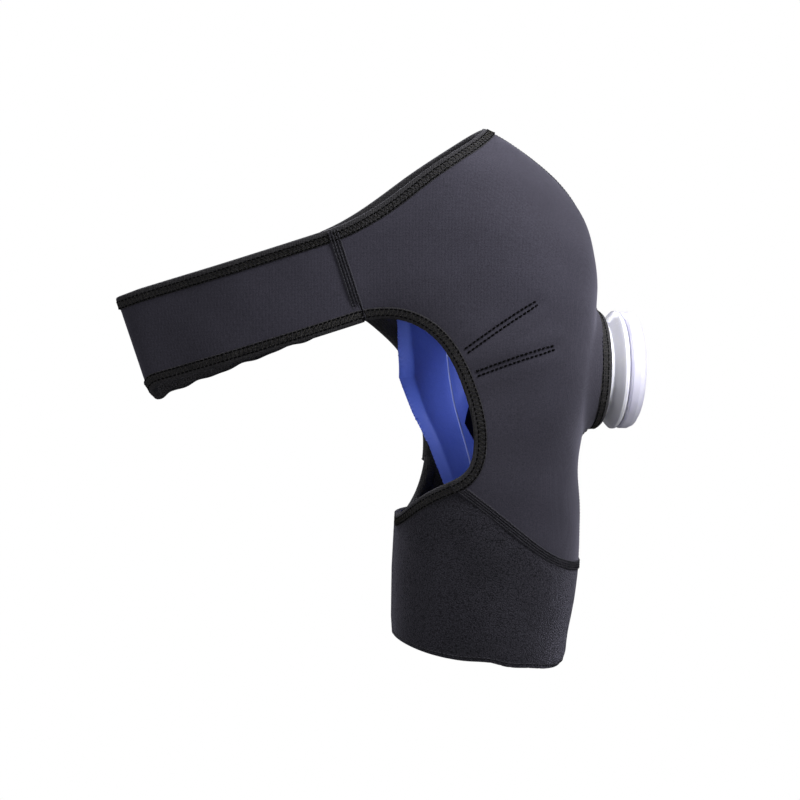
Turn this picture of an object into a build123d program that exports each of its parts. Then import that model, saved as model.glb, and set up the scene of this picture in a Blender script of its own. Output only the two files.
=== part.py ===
"""Cold compression wrap for a left shoulder, modelled in the shape it has when it is worn.

A neoprene shell of a front and a back panel covers the shoulder. A strap runs from the front panel to
the far side of the chest, folds there and fastens with hook and loop on a landing that the back panel
carries. A cuff closes round the upper arm in the same way. An ice bag hangs inside the shell, and its
screw neck comes out through a bound port on the outer side of the shoulder.

Millimetres. +Z runs up the arm, +X points outwards from the shoulder and +Y points to the wearer's
back. The origin is on the axis of the cuff, at its hem.
"""

import math
import os

from build123d import *

# ---------------------------------------------------------------- driving dimensions
PANEL = 3.5  # neoprene of the shell and the strap
TAPE = 0.8  # binding tape, folded round the edges
TAPE_WIDTH = 8.5
HOOK_SHEET = 1.5  # hook tape
TOUCH = 0.3  # least space between different bodies
FAR = 150.0  # past the outside of the object in any direction

# The shell is a bent tube. Each station is its outermost point (x, z), its innermost point (x, z), its
# half depth and the power of its superellipse, from the arm up to the strap.
STATIONS = [
    ((60.0, 24.0), (-60.0, 24.0), 60.0, 2.0),
    ((62.0, 62.0), (-60.3, 62.0), 60.0, 2.0),
    ((62.3, 94.0), (-60.5, 94.0), 60.2, 2.05),
    ((61.5, 126.0), (-61.0, 121.0), 60.5, 2.15),
    ((65.5, 155.0), (-61.5, 141.0), 61.0, 2.4),
    ((71.5, 190.0), (-62.0, 158.0), 61.0, 2.7),
    ((71.5, 225.0), (-63.0, 171.0), 61.0, 2.6),
    ((72.0, 254.0), (-65.0, 180.0), 60.0, 2.4),
    ((61.5, 286.0), (-68.0, 187.0), 59.0, 2.4),
    ((41.0, 312.0), (-71.0, 192.0), 57.5, 2.4),
    ((14.0, 333.0), (-73.5, 196.0), 55.5, 2.5),
    ((-20.0, 346.0), (-75.5, 199.0), 53.5, 2.7),
    ((-62.0, 346.0), (-77.0, 200.0), 51.0, 3.1),
    ((-121.5, 322.0), (-81.5, 199.0), 49.0, 3.8),
]
RIM_POINTS = 13  # points on half of a section

# The strap. Along it, x runs from the fold towards the shoulder.
FOLD = (-226.3, 206.2)  # outside of the fold, at the middle of the strap's width
STRAP_SLOPE = 18.0  # degrees below the horizon
STRAP_RUN = 139.4  # from the fold to the seams on the panels
STRAP_WIDTH = 60.0
STRAP_Y = 49.0  # half depth at the seams
STRAP_PLAN = [(18.0, 16.5), (68.0, 36.0)]  # x and half depth on the way to the fold
LANDING_START = 62.0
LANDING_TOP = 25.0  # the back is a little narrower
TAIL_Y = 55.3  # the tail's outside at its end, clear of the landing under it
TAIL_PLAN = [(18.0, 18.0), (68.0, 42.4)]
TAIL_END = STRAP_RUN - 8.0
TAIL_TOP = 22.0  # edges of the tail, from the middle of the front strap
TAIL_BOTTOM = -38.0
END_SLOPE = 0.06  # how much the strap still widens where it meets the panels
HOOK_RUNS = (78.0, 120.0)
HOOK_ACROSS = (-21.0, 12.0)

# Lines seen from the front, x and z.
FRONT_NECK = [(17.0, 352.5), (-3.0, 340.0), (-44.0, 314.5), (-71.0, 294.5)]
BACK_NECK = [(17.0, 352.5), (-3.0, 340.0), (-44.0, 310.5), (-71.0, 290.5)]
FRONT_HOLE = [(-60, 222), (-37, 209), (-21, 180), (-13.5, 146), (-19, 124.5), (-36, 114), (-53, 100.5)]
BACK_HOLE = [(-66, 209.5), (-50, 193), (-39, 164), (-33.5, 133), (-36, 112), (-48, 92)]
HOLE_END = (-64.0, 84.0)
CUFF_SEAM = [(-60, 142), (-25, 116.5), (16, 83.5), (43, 64.5), (64, 57.5), (90, 54)]
HEM_LINE = [
    (-70, 15),
    (-56, 10),
    (-40, 6.2),
    (-18, 4),
    (6, 1),
    (24, -2),
    (40, -3),
    (50, -2.4),
    (56.5, -1),
    (64, 0),
]
FLAP_TOP = [(-64.0, 87.5), (-40.0, 89.0), (0.0, 82.0), (24.0, 72.5), (35.0, 64.5), (39.6, 53.0)]
FLAP_END = [(39.6, 12.0), (36.5, 4.0), (29.0, -3.0)]

# The cuff.
CUFF_BORE = 56.0  # radius of the arm
CUFF_R = 60.0
UPPER_BORE = 57.0  # above this step the wall is thinner, so that the tape on its edge clears the arm
STEP_HEIGHT = 76.0
SEAM_ANGLE = -8.0  # where the two cuff panels meet on the outer side, degrees from +X
LANDING_ANGLE = 128.0  # where the back cuff panel ends, under the flap
FLAP_END_ANGLE = 50.0
FLAP_SHIFT = 6.5  # the flap's centre lies this far back, so that it runs out over the landing
HOOK_ANGLES = (60.0, 104.0)
HOOK_HEIGHTS = (16.0, 62.0)

# The port and the ice bag's neck. Distances along the neck are measured from the cuff's axis.
PORT_Z = 186.8
PORT_TILT = 4.0  # degrees that the neck points to the back
PORT_DROP = 2.0  # degrees that it points down
PORT_EDGE = 75.4  # the neoprene's edge, turned outwards
PORT_R = 33.0  # inside of the binding
PORT_ROOT = 56.0  # inside the shell's hollow
PORT_BINDING_START = 72.4
SPIGOT_R = 29.5
NECK_R = 31.5
NECK_BORE = 26.5
NECK_INNER_END = 56.0
NECK_STEP = 77.0
CONE = (79.3, 84.0)  # where the neck widens to the flange
FLANGE_R = 38.6
FLANGE_END = 88.2
SPOUT_R = 30.0
SPOUT_END = 96.3
THREAD_PITCH = 3.0
THREAD_DEPTH = 1.1
THREAD_SUNK = 0.4  # how far the ridge's root lies in the wall
THREAD_ROOT = 1.6  # widths of the ridge
THREAD_CREST = 0.6
THREAD_TURNS = 1.5
SPOUT_THREAD_START = 90.2
CAP_THREAD_START = SPOUT_THREAD_START + THREAD_PITCH / 2
CAP_R = 38.2
CAP = (89.4, 100.6)
CAP_BORE = 31.7
CAP_TOP_WALL = 2.6
DISH_R = 26.0  # shallow dish in the cap's face
DISH_DEPTH = 0.8
CAP_SHOULDER = [(0.0, 5.4), (1.4, 2.4), (4.4, 0.6), (8.0, 0.0)]  # in from the cap's side, down from its face
EDGE = 1.3  # width of the bevels on the collar and the cap
CLAMP_EDGE = 0.4
GASKET = (24.0, 30.2, 1.2)  # inner and outer radius, thickness
CLAMP = (30.6, 32.5, 68.8, 75.5)  # inner and outer radius, start and end

# The ice bag, an empty pouch that lies flat against the inside of the shell.
BAG_GAP = 1.8
BAG_DEPTH = 12.0
BAG_WALL = 1.0  # of its sleeve, which is clamped on the spigot
BAG_BACK_START = 26.0  # on the inner side the bag lies only behind this
BAG_BACK = [(-54, 232), (-54, 177), (-43, 151), (-23, 103), (20, 108), (80, 112), (80, 262), (0, 262)]
BAG_FRONT = [(12, 240), (10, 122), (30, 112), (80, 112), (80, 262), (40, 262)]

# ---------------------------------------------------------------- planes
SLOPE = math.radians(STRAP_SLOPE)
TILT = math.radians(PORT_TILT)
ALONG_STRAP = Vector(math.cos(SLOPE), 0, math.sin(SLOPE))
ACROSS_STRAP = Vector(-math.sin(SLOPE), 0, math.cos(SLOPE))
STRAP_PLANE = Plane(origin=(FOLD[0], 0, FOLD[1]), x_dir=ALONG_STRAP, z_dir=ACROSS_STRAP)
PORT_OUT = Vector(math.cos(TILT), math.sin(TILT), -math.tan(math.radians(PORT_DROP))).normalized()
PORT_UP = Vector(0, 1, 0).cross(-PORT_OUT).normalized()
PORT_PLANE = Plane(origin=(0, 0, PORT_Z), x_dir=PORT_UP, z_dir=PORT_OUT)
PORT_SECTION = Plane(origin=(0, 0, PORT_Z), x_dir=PORT_OUT, z_dir=PORT_OUT.cross(PORT_UP))
PORT_AXIS = Axis(PORT_PLANE.origin, PORT_OUT)


def strap_point(run, across):
    """A point of the strap as seen from the front, x and z."""
    point = Vector(FOLD[0], 0, FOLD[1]) + ALONG_STRAP * run + ACROSS_STRAP * across
    return (point.X, point.Z)


def strap_edge(across):
    """Two points on an edge of the strap, at its seam and towards the fold."""
    return [strap_point(STRAP_RUN, across), strap_point(STRAP_RUN - 30, across)]

# ---------------------------------------------------------------- the shell's layers


def station_plane(ridge, inner):
    """The plane of one section of the shell, with its local x towards the outside."""
    x_dir = Vector(ridge[0] - inner[0], 0, ridge[1] - inner[1]).normalized()
    middle = ((ridge[0] + inner[0]) / 2, 0, (ridge[1] + inner[1]) / 2)
    return Plane(origin=middle, x_dir=x_dir, z_dir=x_dir.cross(Vector(0, 1, 0)))


def front_rim(half_x, half_y, power):
    """Points of the front half of a superellipse, from its outermost to its innermost point."""
    points = []
    for step in range(RIM_POINTS):
        turn = math.pi * step / (RIM_POINTS - 1)
        x = half_x * math.copysign(abs(math.cos(turn)) ** (2 / power), math.cos(turn))
        points.append((x, -half_y * math.sin(turn) ** (2 / power)))
    return points


def front_body(grow):
    """The front half of the closed tube that the shell is cut from, grown outwards by a distance."""
    with BuildPart() as body:
        for ridge, inner, half_depth, power in STATIONS:
            half = math.dist(ridge, inner) / 2
            with BuildSketch(station_plane(ridge, inner)):
                with BuildLine():
                    points = front_rim(half + grow, half_depth + grow, power)
                    rim = Spline(*points, tangents=[(0, -1), (0, 1)])
                    Line(rim @ 1, rim @ 0)
                make_face()
        loft()
    return body.part


def both_halves(grow):
    """The closed tube's front half and its mirror image, by side."""
    front = front_body(grow)
    return {"front": front, "back": front.mirror(Plane.XZ)}


# ---------------------------------------------------------------- slabs seen from the front


def moved_line(points, distance):
    """The points of a line moved sideways, to the left of its direction."""
    moved = []
    for step, point in enumerate(points):
        before = points[max(step - 1, 0)]
        after = points[min(step + 1, len(points) - 1)]
        length = math.dist(before, after)
        side = (-(after[1] - before[1]) / length, (after[0] - before[0]) / length)
        moved.append((point[0] + side[0] * distance, point[1] + side[1] * distance))
    return moved


def slab(line, corners):
    """A slab through the whole depth, bounded by a smooth line and straight sides."""
    with BuildPart() as body:
        with BuildSketch(Plane.XZ):
            with BuildLine():
                Spline(*line)
                Polyline(line[-1], *corners, line[0])
            make_face()
        extrude(amount=FAR, both=True)
    return body.part


def below_neck(side, grow):
    """Everything under the neck's edge."""
    line = moved_line([*NECKS[side], *strap_edge(STRAP_TOPS[side])], -grow)
    return slab(line, [(-FAR, 0), (FAR, 0), (FAR, line[0][1])])


def in_hole(side, grow):
    """The armhole, open to the inner side."""
    line = moved_line([*reversed(strap_edge(-HALF_WIDTH)), *HOLES[side], HOLE_END], grow)
    return slab(line, [(-2 * FAR, line[-1][1]), (-2 * FAR, line[0][1])])


def past_cuff_seam():
    """Everything above the seam between shell and cuff."""
    return slab(CUFF_SEAM, [(FAR, 3 * FAR), (-2 * FAR, 3 * FAR)])


def above_hem():
    """Everything above the hem."""
    return slab(HEM_LINE, [(FAR, HEM_LINE[-1][1]), (FAR, 2 * FAR), (-FAR, 2 * FAR), (-FAR, HEM_LINE[0][1])])


def in_flap():
    """Everything within the flap's upper edge and its rounded end."""
    return slab(FLAP_TOP, [*FLAP_END, (FLAP_END[-1][0], -FAR), (-FAR, -FAR), (-FAR, FLAP_TOP[0][1])])


def shoulder_side():
    """Everything on the shoulder's side of the seams that join strap and panels."""
    top = strap_point(STRAP_RUN, FAR)
    bottom = strap_point(STRAP_RUN, -STRAP_WIDTH)
    corners = [top, bottom, (-FAR, bottom[1]), (-FAR, -FAR), (FAR, -FAR), (FAR, top[1])]
    with BuildPart() as body:
        with BuildSketch(Plane.XZ):
            with BuildLine():
                Polyline(*corners, close=True)
            make_face()
        extrude(amount=FAR, both=True)
    return body.part


# ---------------------------------------------------------------- the strap's layers


def moved_plan(line, inwards):
    """The strap's plan moved inwards, with its ends moved square to the fold and to the seam."""
    moved = moved_line(line, -inwards)
    moved[0] = (inwards, 0.0)
    moved[-1] = (line[-1][0], line[-1][1] - inwards)
    return moved


def strap_layer(line, outside, inside, runs, across, side):
    """Part of the strap's wall: its plan between two distances inwards from its outer face."""
    with BuildPart() as body:
        with BuildSketch(STRAP_PLANE.offset(across[0])):
            with BuildLine():
                edges = []
                for distance in (outside, inside):
                    points = [(x, side * y) for x, y in moved_plan(line, distance)]
                    edges.append(Spline(*points, tangents=[(0, side), (1, side * END_SLOPE)]))
                Line(edges[0] @ 1, edges[1] @ 1)
                Line(edges[1] @ 0, edges[0] @ 0)
            make_face()
            with Locations(((runs[0] + runs[1]) / 2, 0)):
                Rectangle(runs[1] - runs[0], FAR, mode=Mode.INTERSECT)
        extrude(amount=across[1] - across[0])
    return body.part


# ---------------------------------------------------------------- cuff walls


def cuff_wall(outer_r, inner_r, angles, centre_y=0.0):
    """A tall wall round the arm between two angles from +X."""
    start, end = (math.radians(angle) for angle in angles)
    corners = [(0.0, centre_y)]
    for step in range(5):
        turn = start + (end - start) * step / 4
        corners.append((FAR * math.cos(turn), centre_y + FAR * math.sin(turn)))
    with BuildPart() as body:
        with BuildSketch(Plane.XY.offset(-CUFF_R)):
            with Locations((0, centre_y)):
                Circle(outer_r)
                Circle(inner_r, mode=Mode.SUBTRACT)
            with BuildLine():
                Polyline(*corners, close=True)
            make_face(mode=Mode.INTERSECT)
        extrude(amount=4 * CUFF_R)
    return body.part


# ---------------------------------------------------------------- writing


def write(piece, name):
    """Label a finished piece and write it."""
    piece.part.label = name
    export_step(piece.part, f"parts/{name}.step")


os.makedirs("parts", exist_ok=True)

HALF_WIDTH = STRAP_WIDTH / 2
SIDES = ("front", "back")
NECKS = {"front": FRONT_NECK, "back": BACK_NECK}
HOLES = {"front": FRONT_HOLE, "back": BACK_HOLE}
STRAP_TOPS = {"front": HALF_WIDTH, "back": LANDING_TOP}
NECK_SLABS = {side: below_neck(side, 0) for side in SIDES}
HOLE_SLABS = {side: in_hole(side, 0) for side in SIDES}
SEAM_SLAB = past_cuff_seam()
SHOULDER_SLAB = shoulder_side()
HEM_SLAB = above_hem()
FLAP_SLAB = in_flap()
OUTSIDE = both_halves(0)
INSIDE = both_halves(-PANEL)
TAPE_OUTSIDE = both_halves(TAPE)
TAPE_INSIDE = both_halves(-PANEL - TAPE)
STRAP_LINE = [(0.0, 0.0), *STRAP_PLAN, (STRAP_RUN, STRAP_Y)]
TAIL_LINE = [(0.0, 0.0), *TAIL_PLAN, (STRAP_RUN, TAIL_Y)]

# ---------------------------------------------------------------- shell panels
with BuildPart() as port_sleeve:
    with BuildSketch(PORT_PLANE.offset(PORT_ROOT)):
        Circle(PORT_R + TAPE + PANEL)
    extrude(amount=PORT_EDGE - PORT_ROOT)

with BuildPart() as port_bore:
    with BuildSketch(PORT_PLANE.offset(PORT_ROOT - 2 * CAP_R)):
        Circle(PORT_R + TAPE)
    extrude(amount=3 * CAP_R)


def shell_panel(side):
    """One panel of the shell with its half of the port's turned-out edge."""
    with BuildPart() as panel:
        add(OUTSIDE[side])
        add(port_sleeve.part)
        add(INSIDE[side], mode=Mode.SUBTRACT)
        add(NECK_SLABS[side], mode=Mode.INTERSECT)
        add(SEAM_SLAB, mode=Mode.INTERSECT)
        add(SHOULDER_SLAB, mode=Mode.INTERSECT)
        add(HOLE_SLABS[side], mode=Mode.SUBTRACT)
        add(port_bore.part, mode=Mode.SUBTRACT)
        split(bisect_by=Plane.XZ, keep=Keep.TOP if side == "front" else Keep.BOTTOM)
    return panel


front_panel = shell_panel("front")
write(front_panel, "front_panel")
back_panel = shell_panel("back")
write(back_panel, "back_panel")

with BuildPart() as port_binding:
    with BuildSketch(PORT_PLANE.offset(PORT_BINDING_START)):
        Circle(PORT_R + TAPE + PANEL + TAPE)
        Circle(PORT_R, mode=Mode.SUBTRACT)
    extrude(amount=PORT_EDGE + TAPE - PORT_BINDING_START)
    with BuildSketch(PORT_PLANE.offset(PORT_BINDING_START)):
        Circle(PORT_R + TAPE + PANEL)
        Circle(PORT_R + TAPE, mode=Mode.SUBTRACT)
    extrude(amount=PORT_EDGE - PORT_BINDING_START, mode=Mode.SUBTRACT)
    outer_rim = port_binding.faces().sort_by(PORT_AXIS)[-1].edges()
    fillet(outer_rim, radius=TAPE * 0.9)
write(port_binding, "port_binding")

# ---------------------------------------------------------------- cuff
FRONT_CUFF_ANGLES = (180.0, 360.0 + SEAM_ANGLE)
BACK_CUFF_ANGLES = (SEAM_ANGLE, LANDING_ANGLE)


def cuff_panel(angles, side):
    """One panel of the cuff, below the shell's seam and above the hem."""
    with BuildPart() as panel:
        add(cuff_wall(CUFF_R, CUFF_BORE, angles))
        with BuildSketch(Plane.XY.offset(STEP_HEIGHT)):
            Circle(UPPER_BORE)
        extrude(amount=FAR, mode=Mode.SUBTRACT)
        add(SEAM_SLAB, mode=Mode.SUBTRACT)
        add(HOLE_SLABS[side], mode=Mode.SUBTRACT)
        add(HEM_SLAB, mode=Mode.INTERSECT)
    return panel


cuff_front = cuff_panel(FRONT_CUFF_ANGLES, "front")
write(cuff_front, "cuff_front")
cuff_back = cuff_panel(BACK_CUFF_ANGLES, "back")
write(cuff_back, "cuff_back")

FLAP_R = math.hypot(CUFF_R, FLAP_SHIFT)
FLAP_START = 180.0 + math.degrees(math.atan2(FLAP_SHIFT, CUFF_R))
CUFF_WALL = CUFF_R - CUFF_BORE


def past_fold(piece):
    """Keep what lies behind the fold of the cuff, with the gap that lets it turn."""
    with BuildPart() as kept:
        add(piece)
        split(bisect_by=Plane.XZ.offset(-TOUCH), keep=Keep.BOTTOM)
    return kept.part


with BuildPart() as cuff_flap:
    add(past_fold(cuff_wall(FLAP_R, FLAP_R - CUFF_WALL, (FLAP_END_ANGLE, FLAP_START), FLAP_SHIFT)))
    add(HEM_SLAB, mode=Mode.INTERSECT)
    add(FLAP_SLAB, mode=Mode.INTERSECT)
write(cuff_flap, "cuff_flap")

with BuildPart() as cuff_hook_patch:
    add(cuff_wall(FLAP_R - CUFF_WALL, FLAP_R - CUFF_WALL - HOOK_SHEET, HOOK_ANGLES, FLAP_SHIFT))
    with BuildSketch(Plane.XZ):
        with Locations((0, (HOOK_HEIGHTS[0] + HOOK_HEIGHTS[1]) / 2)):
            Rectangle(2 * FAR, HOOK_HEIGHTS[1] - HOOK_HEIGHTS[0])
    extrude(amount=FAR, both=True, mode=Mode.INTERSECT)
write(cuff_hook_patch, "cuff_hook_patch")

# ---------------------------------------------------------------- strap
with BuildPart() as strap_front:
    add(strap_layer(STRAP_LINE, 0, PANEL, (0, STRAP_RUN), (-HALF_WIDTH, HALF_WIDTH), -1))
write(strap_front, "strap_front")

with BuildPart() as strap_landing:
    add(strap_layer(STRAP_LINE, 0, PANEL, (LANDING_START, STRAP_RUN), (-HALF_WIDTH, LANDING_TOP), 1))
write(strap_landing, "strap_landing")

with BuildPart() as strap_tail:
    add(past_fold(strap_layer(TAIL_LINE, 0, PANEL, (0, TAIL_END), (TAIL_BOTTOM, TAIL_TOP), 1)))
write(strap_tail, "strap_tail")

with BuildPart() as strap_hook_patch:
    add(strap_layer(TAIL_LINE, PANEL, PANEL + HOOK_SHEET, HOOK_RUNS, HOOK_ACROSS, 1))
write(strap_hook_patch, "strap_hook_patch")

# ---------------------------------------------------------------- binding tapes
CLOTH = {
    "front": [front_panel.part, cuff_front.part, strap_front.part],
    "back": [back_panel.part, cuff_back.part, strap_landing.part],
}


def strap_tape(line, runs, edge, inwards, side):
    """Tape folded round one edge of the strap, before the strap is cut out of it."""
    across = sorted((edge + inwards * TAPE, edge - inwards * TAPE_WIDTH))
    return strap_layer(line, -TAPE, PANEL + TAPE, runs, across, side)


def neck_tape(side):
    """Tape along the neck's edge of one panel."""
    with BuildPart() as tape:
        add(below_neck(side, TAPE))
        add(below_neck(side, -TAPE_WIDTH), mode=Mode.SUBTRACT)
        add(SHOULDER_SLAB, mode=Mode.INTERSECT)
        add(TAPE_OUTSIDE[side], mode=Mode.INTERSECT)
        add(TAPE_INSIDE[side], mode=Mode.SUBTRACT)
    return tape.part


def hole_band(side):
    """A slab along the armhole's edge, as wide as the tape."""
    with BuildPart() as tape:
        add(in_hole(side, TAPE_WIDTH))
        add(in_hole(side, -TAPE), mode=Mode.SUBTRACT)
        add(SHOULDER_SLAB, mode=Mode.INTERSECT)
    return tape.part


def shell_hole_tape(side):
    """Tape along the armhole's edge of one shell panel."""
    with BuildPart() as tape:
        add(hole_band(side))
        add(SEAM_SLAB, mode=Mode.INTERSECT)
        add(TAPE_OUTSIDE[side], mode=Mode.INTERSECT)
        add(TAPE_INSIDE[side], mode=Mode.SUBTRACT)
    return tape.part


def cuff_hole_tape(side, angles):
    """Tape along the upper edge of one cuff panel."""
    with BuildPart() as tape:
        add(hole_band(side))
        add(SEAM_SLAB, mode=Mode.SUBTRACT)
        add(cuff_wall(CUFF_R + TAPE, UPPER_BORE - TAPE, angles), mode=Mode.INTERSECT)
    return tape.part


with BuildPart() as neck_binding:
    add(neck_tape("front"))
    add(neck_tape("back"))
    add(strap_tape(STRAP_LINE, (0, STRAP_RUN), HALF_WIDTH, 1, -1))
    add(strap_tape(STRAP_LINE, (LANDING_START, STRAP_RUN), LANDING_TOP, 1, 1))
    for cloth in CLOTH["front"] + CLOTH["back"]:
        add(cloth, mode=Mode.SUBTRACT)
write(neck_binding, "neck_binding")

with BuildPart() as front_armhole_binding:
    add(shell_hole_tape("front"))
    add(cuff_hole_tape("front", FRONT_CUFF_ANGLES))
    add(strap_tape(STRAP_LINE, (0, STRAP_RUN), -HALF_WIDTH, -1, -1))
    for cloth in CLOTH["front"]:
        add(cloth, mode=Mode.SUBTRACT)
write(front_armhole_binding, "front_armhole_binding")

with BuildPart() as back_armhole_binding:
    add(shell_hole_tape("back"))
    add(cuff_hole_tape("back", BACK_CUFF_ANGLES))
    add(strap_tape(STRAP_LINE, (LANDING_START, STRAP_RUN), -HALF_WIDTH, -1, 1))
    for cloth in CLOTH["back"]:
        add(cloth, mode=Mode.SUBTRACT)
write(back_armhole_binding, "back_armhole_binding")

with BuildPart() as tail_binding:
    for edge, inwards in ((TAIL_TOP, 1), (TAIL_BOTTOM, -1)):
        add(past_fold(strap_tape(TAIL_LINE, (0, TAIL_END + TAPE), edge, inwards, 1)))
    add(
        strap_layer(
            TAIL_LINE,
            -TAPE,
            PANEL + TAPE,
            (TAIL_END - TAPE_WIDTH, TAIL_END + TAPE),
            (TAIL_BOTTOM - TAPE, TAIL_TOP + TAPE),
            1,
        )
    )
    add(strap_tail.part, mode=Mode.SUBTRACT)
write(tail_binding, "tail_binding")

# ---------------------------------------------------------------- the ice bag's neck
def turned(profile):
    """A ring turned round the neck's axis from corners of (radius, distance along the neck)."""
    with BuildPart() as ring:
        with BuildSketch(PORT_SECTION):
            with BuildLine():
                Polyline(*[(along, radius) for radius, along in profile], close=True)
            make_face()
        revolve(axis=PORT_AXIS)
    return ring.part


def band(inner_r, outer_r, start, end):
    """A plain ring round the neck's axis."""
    return turned([(inner_r, start), (outer_r, start), (outer_r, end), (inner_r, end)])


def thread_ridge(radius, start, outward):
    """A helical ridge round the neck's axis, with its crest on the outside or the inside."""
    way = 1 if outward else -1
    with BuildPart() as ridge:
        with BuildLine():
            path = Helix(pitch=THREAD_PITCH, height=THREAD_PITCH * THREAD_TURNS, radius=radius)
        with BuildSketch(Plane(origin=path @ 0, x_dir=(way, 0, 0), z_dir=path % 0)):
            with BuildLine():
                Polyline(
                    (-THREAD_SUNK, -THREAD_ROOT / 2),
                    (THREAD_DEPTH, -THREAD_CREST / 2),
                    (THREAD_DEPTH, THREAD_CREST / 2),
                    (-THREAD_SUNK, THREAD_ROOT / 2),
                    close=True,
                )
            make_face()
        sweep(is_frenet=True)
    return PORT_PLANE.offset(start).location * ridge.part


with BuildPart() as bag_collar:
    add(
        turned(
            [
                (NECK_BORE, NECK_INNER_END),
                (SPIGOT_R, NECK_INNER_END),
                (SPIGOT_R, NECK_STEP),
                (NECK_R, NECK_STEP),
                (NECK_R, CONE[0]),
                (FLANGE_R - EDGE, CONE[1]),
                (FLANGE_R, CONE[1] + EDGE),
                (FLANGE_R, FLANGE_END - EDGE),
                (FLANGE_R - EDGE, FLANGE_END),
                (SPOUT_R, FLANGE_END),
                (SPOUT_R, SPOUT_END),
                (NECK_BORE, SPOUT_END),
            ]
        )
    )
    add(thread_ridge(SPOUT_R, SPOUT_THREAD_START, True))
write(bag_collar, "bag_collar")

with BuildPart() as clamp_ring:
    add(band(*CLAMP))
    fillet(clamp_ring.edges(), radius=CLAMP_EDGE)
write(clamp_ring, "clamp_ring")

CAP_CEILING = CAP[1] - CAP_TOP_WALL
GASKET_TOP = CAP_CEILING - TOUCH
with BuildPart() as cap_shell:
    add(
        turned(
            [
                (CAP_BORE, CAP[0]),
                (CAP_R - EDGE, CAP[0]),
                (CAP_R, CAP[0] + EDGE),
                *[(CAP_R - inwards, CAP[1] - down) for inwards, down in CAP_SHOULDER],
                (DISH_R, CAP[1]),
                (DISH_R - EDGE, CAP[1] - DISH_DEPTH),
                (0, CAP[1] - DISH_DEPTH),
                (0, CAP_CEILING),
                (CAP_BORE, CAP_CEILING),
            ]
        )
    )
    add(thread_ridge(CAP_BORE, CAP_THREAD_START, False))
write(cap_shell, "cap_shell")

with BuildPart() as cap_gasket:
    add(band(GASKET[0], GASKET[1], GASKET_TOP - GASKET[2], GASKET_TOP))
write(cap_gasket, "cap_gasket")

# ---------------------------------------------------------------- ice bag


def bag_half(side):
    """One side of the bag's body, between two layers of the shell's hollow."""
    points, way = (BAG_FRONT, 1) if side == "front" else (BAG_BACK, -1)
    with BuildPart() as region:
        with BuildSketch(Plane.XZ):
            with BuildLine():
                Polyline(*points, close=True)
            make_face()
        extrude(amount=way * FAR)
    with BuildPart() as half:
        add(BAG_OUTSIDE[side])
        add(BAG_INSIDE[side], mode=Mode.SUBTRACT)
        add(region.part, mode=Mode.INTERSECT)
        with Locations((-FAR, 0, PORT_Z)):
            Box(2 * FAR, 2 * BAG_BACK_START, 4 * FAR, mode=Mode.SUBTRACT)
    return half.part


BAG_OUTSIDE = both_halves(-PANEL - BAG_GAP)
BAG_INSIDE = both_halves(-PANEL - BAG_GAP - BAG_DEPTH)

with BuildPart() as ice_bag:
    for side in SIDES:
        add(bag_half(side))
    add(band(SPIGOT_R, SPIGOT_R + BAG_WALL, NECK_INNER_END, CLAMP[3]))
    add(band(0, SPIGOT_R, NECK_INNER_END, CLAMP[3]), mode=Mode.SUBTRACT)
write(ice_bag, "ice_bag")
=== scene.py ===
import math

import bmesh
import bpy
import numpy as np
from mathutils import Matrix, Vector
from mathutils.bvhtree import BVHTree


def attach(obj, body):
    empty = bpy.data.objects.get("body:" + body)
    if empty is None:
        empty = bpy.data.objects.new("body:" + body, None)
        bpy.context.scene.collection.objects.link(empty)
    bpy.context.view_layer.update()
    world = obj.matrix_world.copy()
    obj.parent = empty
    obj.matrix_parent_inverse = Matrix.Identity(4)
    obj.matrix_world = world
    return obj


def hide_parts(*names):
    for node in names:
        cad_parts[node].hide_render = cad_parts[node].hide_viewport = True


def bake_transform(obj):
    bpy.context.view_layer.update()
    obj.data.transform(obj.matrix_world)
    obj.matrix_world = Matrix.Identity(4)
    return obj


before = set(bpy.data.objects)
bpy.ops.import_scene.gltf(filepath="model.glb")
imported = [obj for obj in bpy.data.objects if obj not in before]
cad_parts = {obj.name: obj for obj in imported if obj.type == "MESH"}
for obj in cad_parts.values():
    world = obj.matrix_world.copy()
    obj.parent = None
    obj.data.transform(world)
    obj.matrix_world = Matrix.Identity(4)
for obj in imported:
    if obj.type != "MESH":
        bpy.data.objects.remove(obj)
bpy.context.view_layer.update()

# Everything is worked out in millimetres and scaled to metres when a mesh is made.
MM = 0.001
FAR = 1e9
PANEL = 3.5  # neoprene
TAPE = 0.85
TAPE_WIDTH = 7.2

# ---------------------------------------------------------------- the shell's shape
# outermost (x, z), innermost (x, z), half depth, power of the superellipse
STATIONS = [
    (60.0, 24.0, -60.0, 24.0, 60.0, 2.0),
    (62.0, 62.0, -60.3, 62.0, 60.0, 2.0),
    (62.3, 94.0, -60.5, 94.0, 60.2, 2.05),
    (61.5, 126.0, -61.0, 121.0, 60.5, 2.15),
    (65.5, 155.0, -61.5, 141.0, 61.0, 2.4),
    (71.5, 190.0, -62.0, 158.0, 61.0, 2.7),
    (71.5, 225.0, -63.0, 171.0, 61.0, 2.6),
    (72.0, 254.0, -65.0, 180.0, 60.0, 2.4),
    (61.5, 286.0, -68.0, 187.0, 59.0, 2.4),
    (41.0, 312.0, -71.0, 192.0, 57.5, 2.4),
    (14.0, 333.0, -73.5, 196.0, 55.5, 2.5),
    (-20.0, 346.0, -75.5, 199.0, 53.5, 2.7),
    (-62.0, 346.0, -77.0, 200.0, 51.0, 3.1),
    (-121.5, 322.0, -81.5, 199.0, 49.0, 3.8),
]
FOLD = np.array([-226.3, 0.0, 206.2])
SLOPE = math.radians(18.0)
ALONG = np.array([math.cos(SLOPE), 0.0, math.sin(SLOPE)])
ACROSS = np.array([-math.sin(SLOPE), 0.0, math.cos(SLOPE)])
STRAP_RUN = 139.4
HALF_WIDTH = 30.0
LANDING_TOP = 25.0
LANDING_START = 62.0
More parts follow.
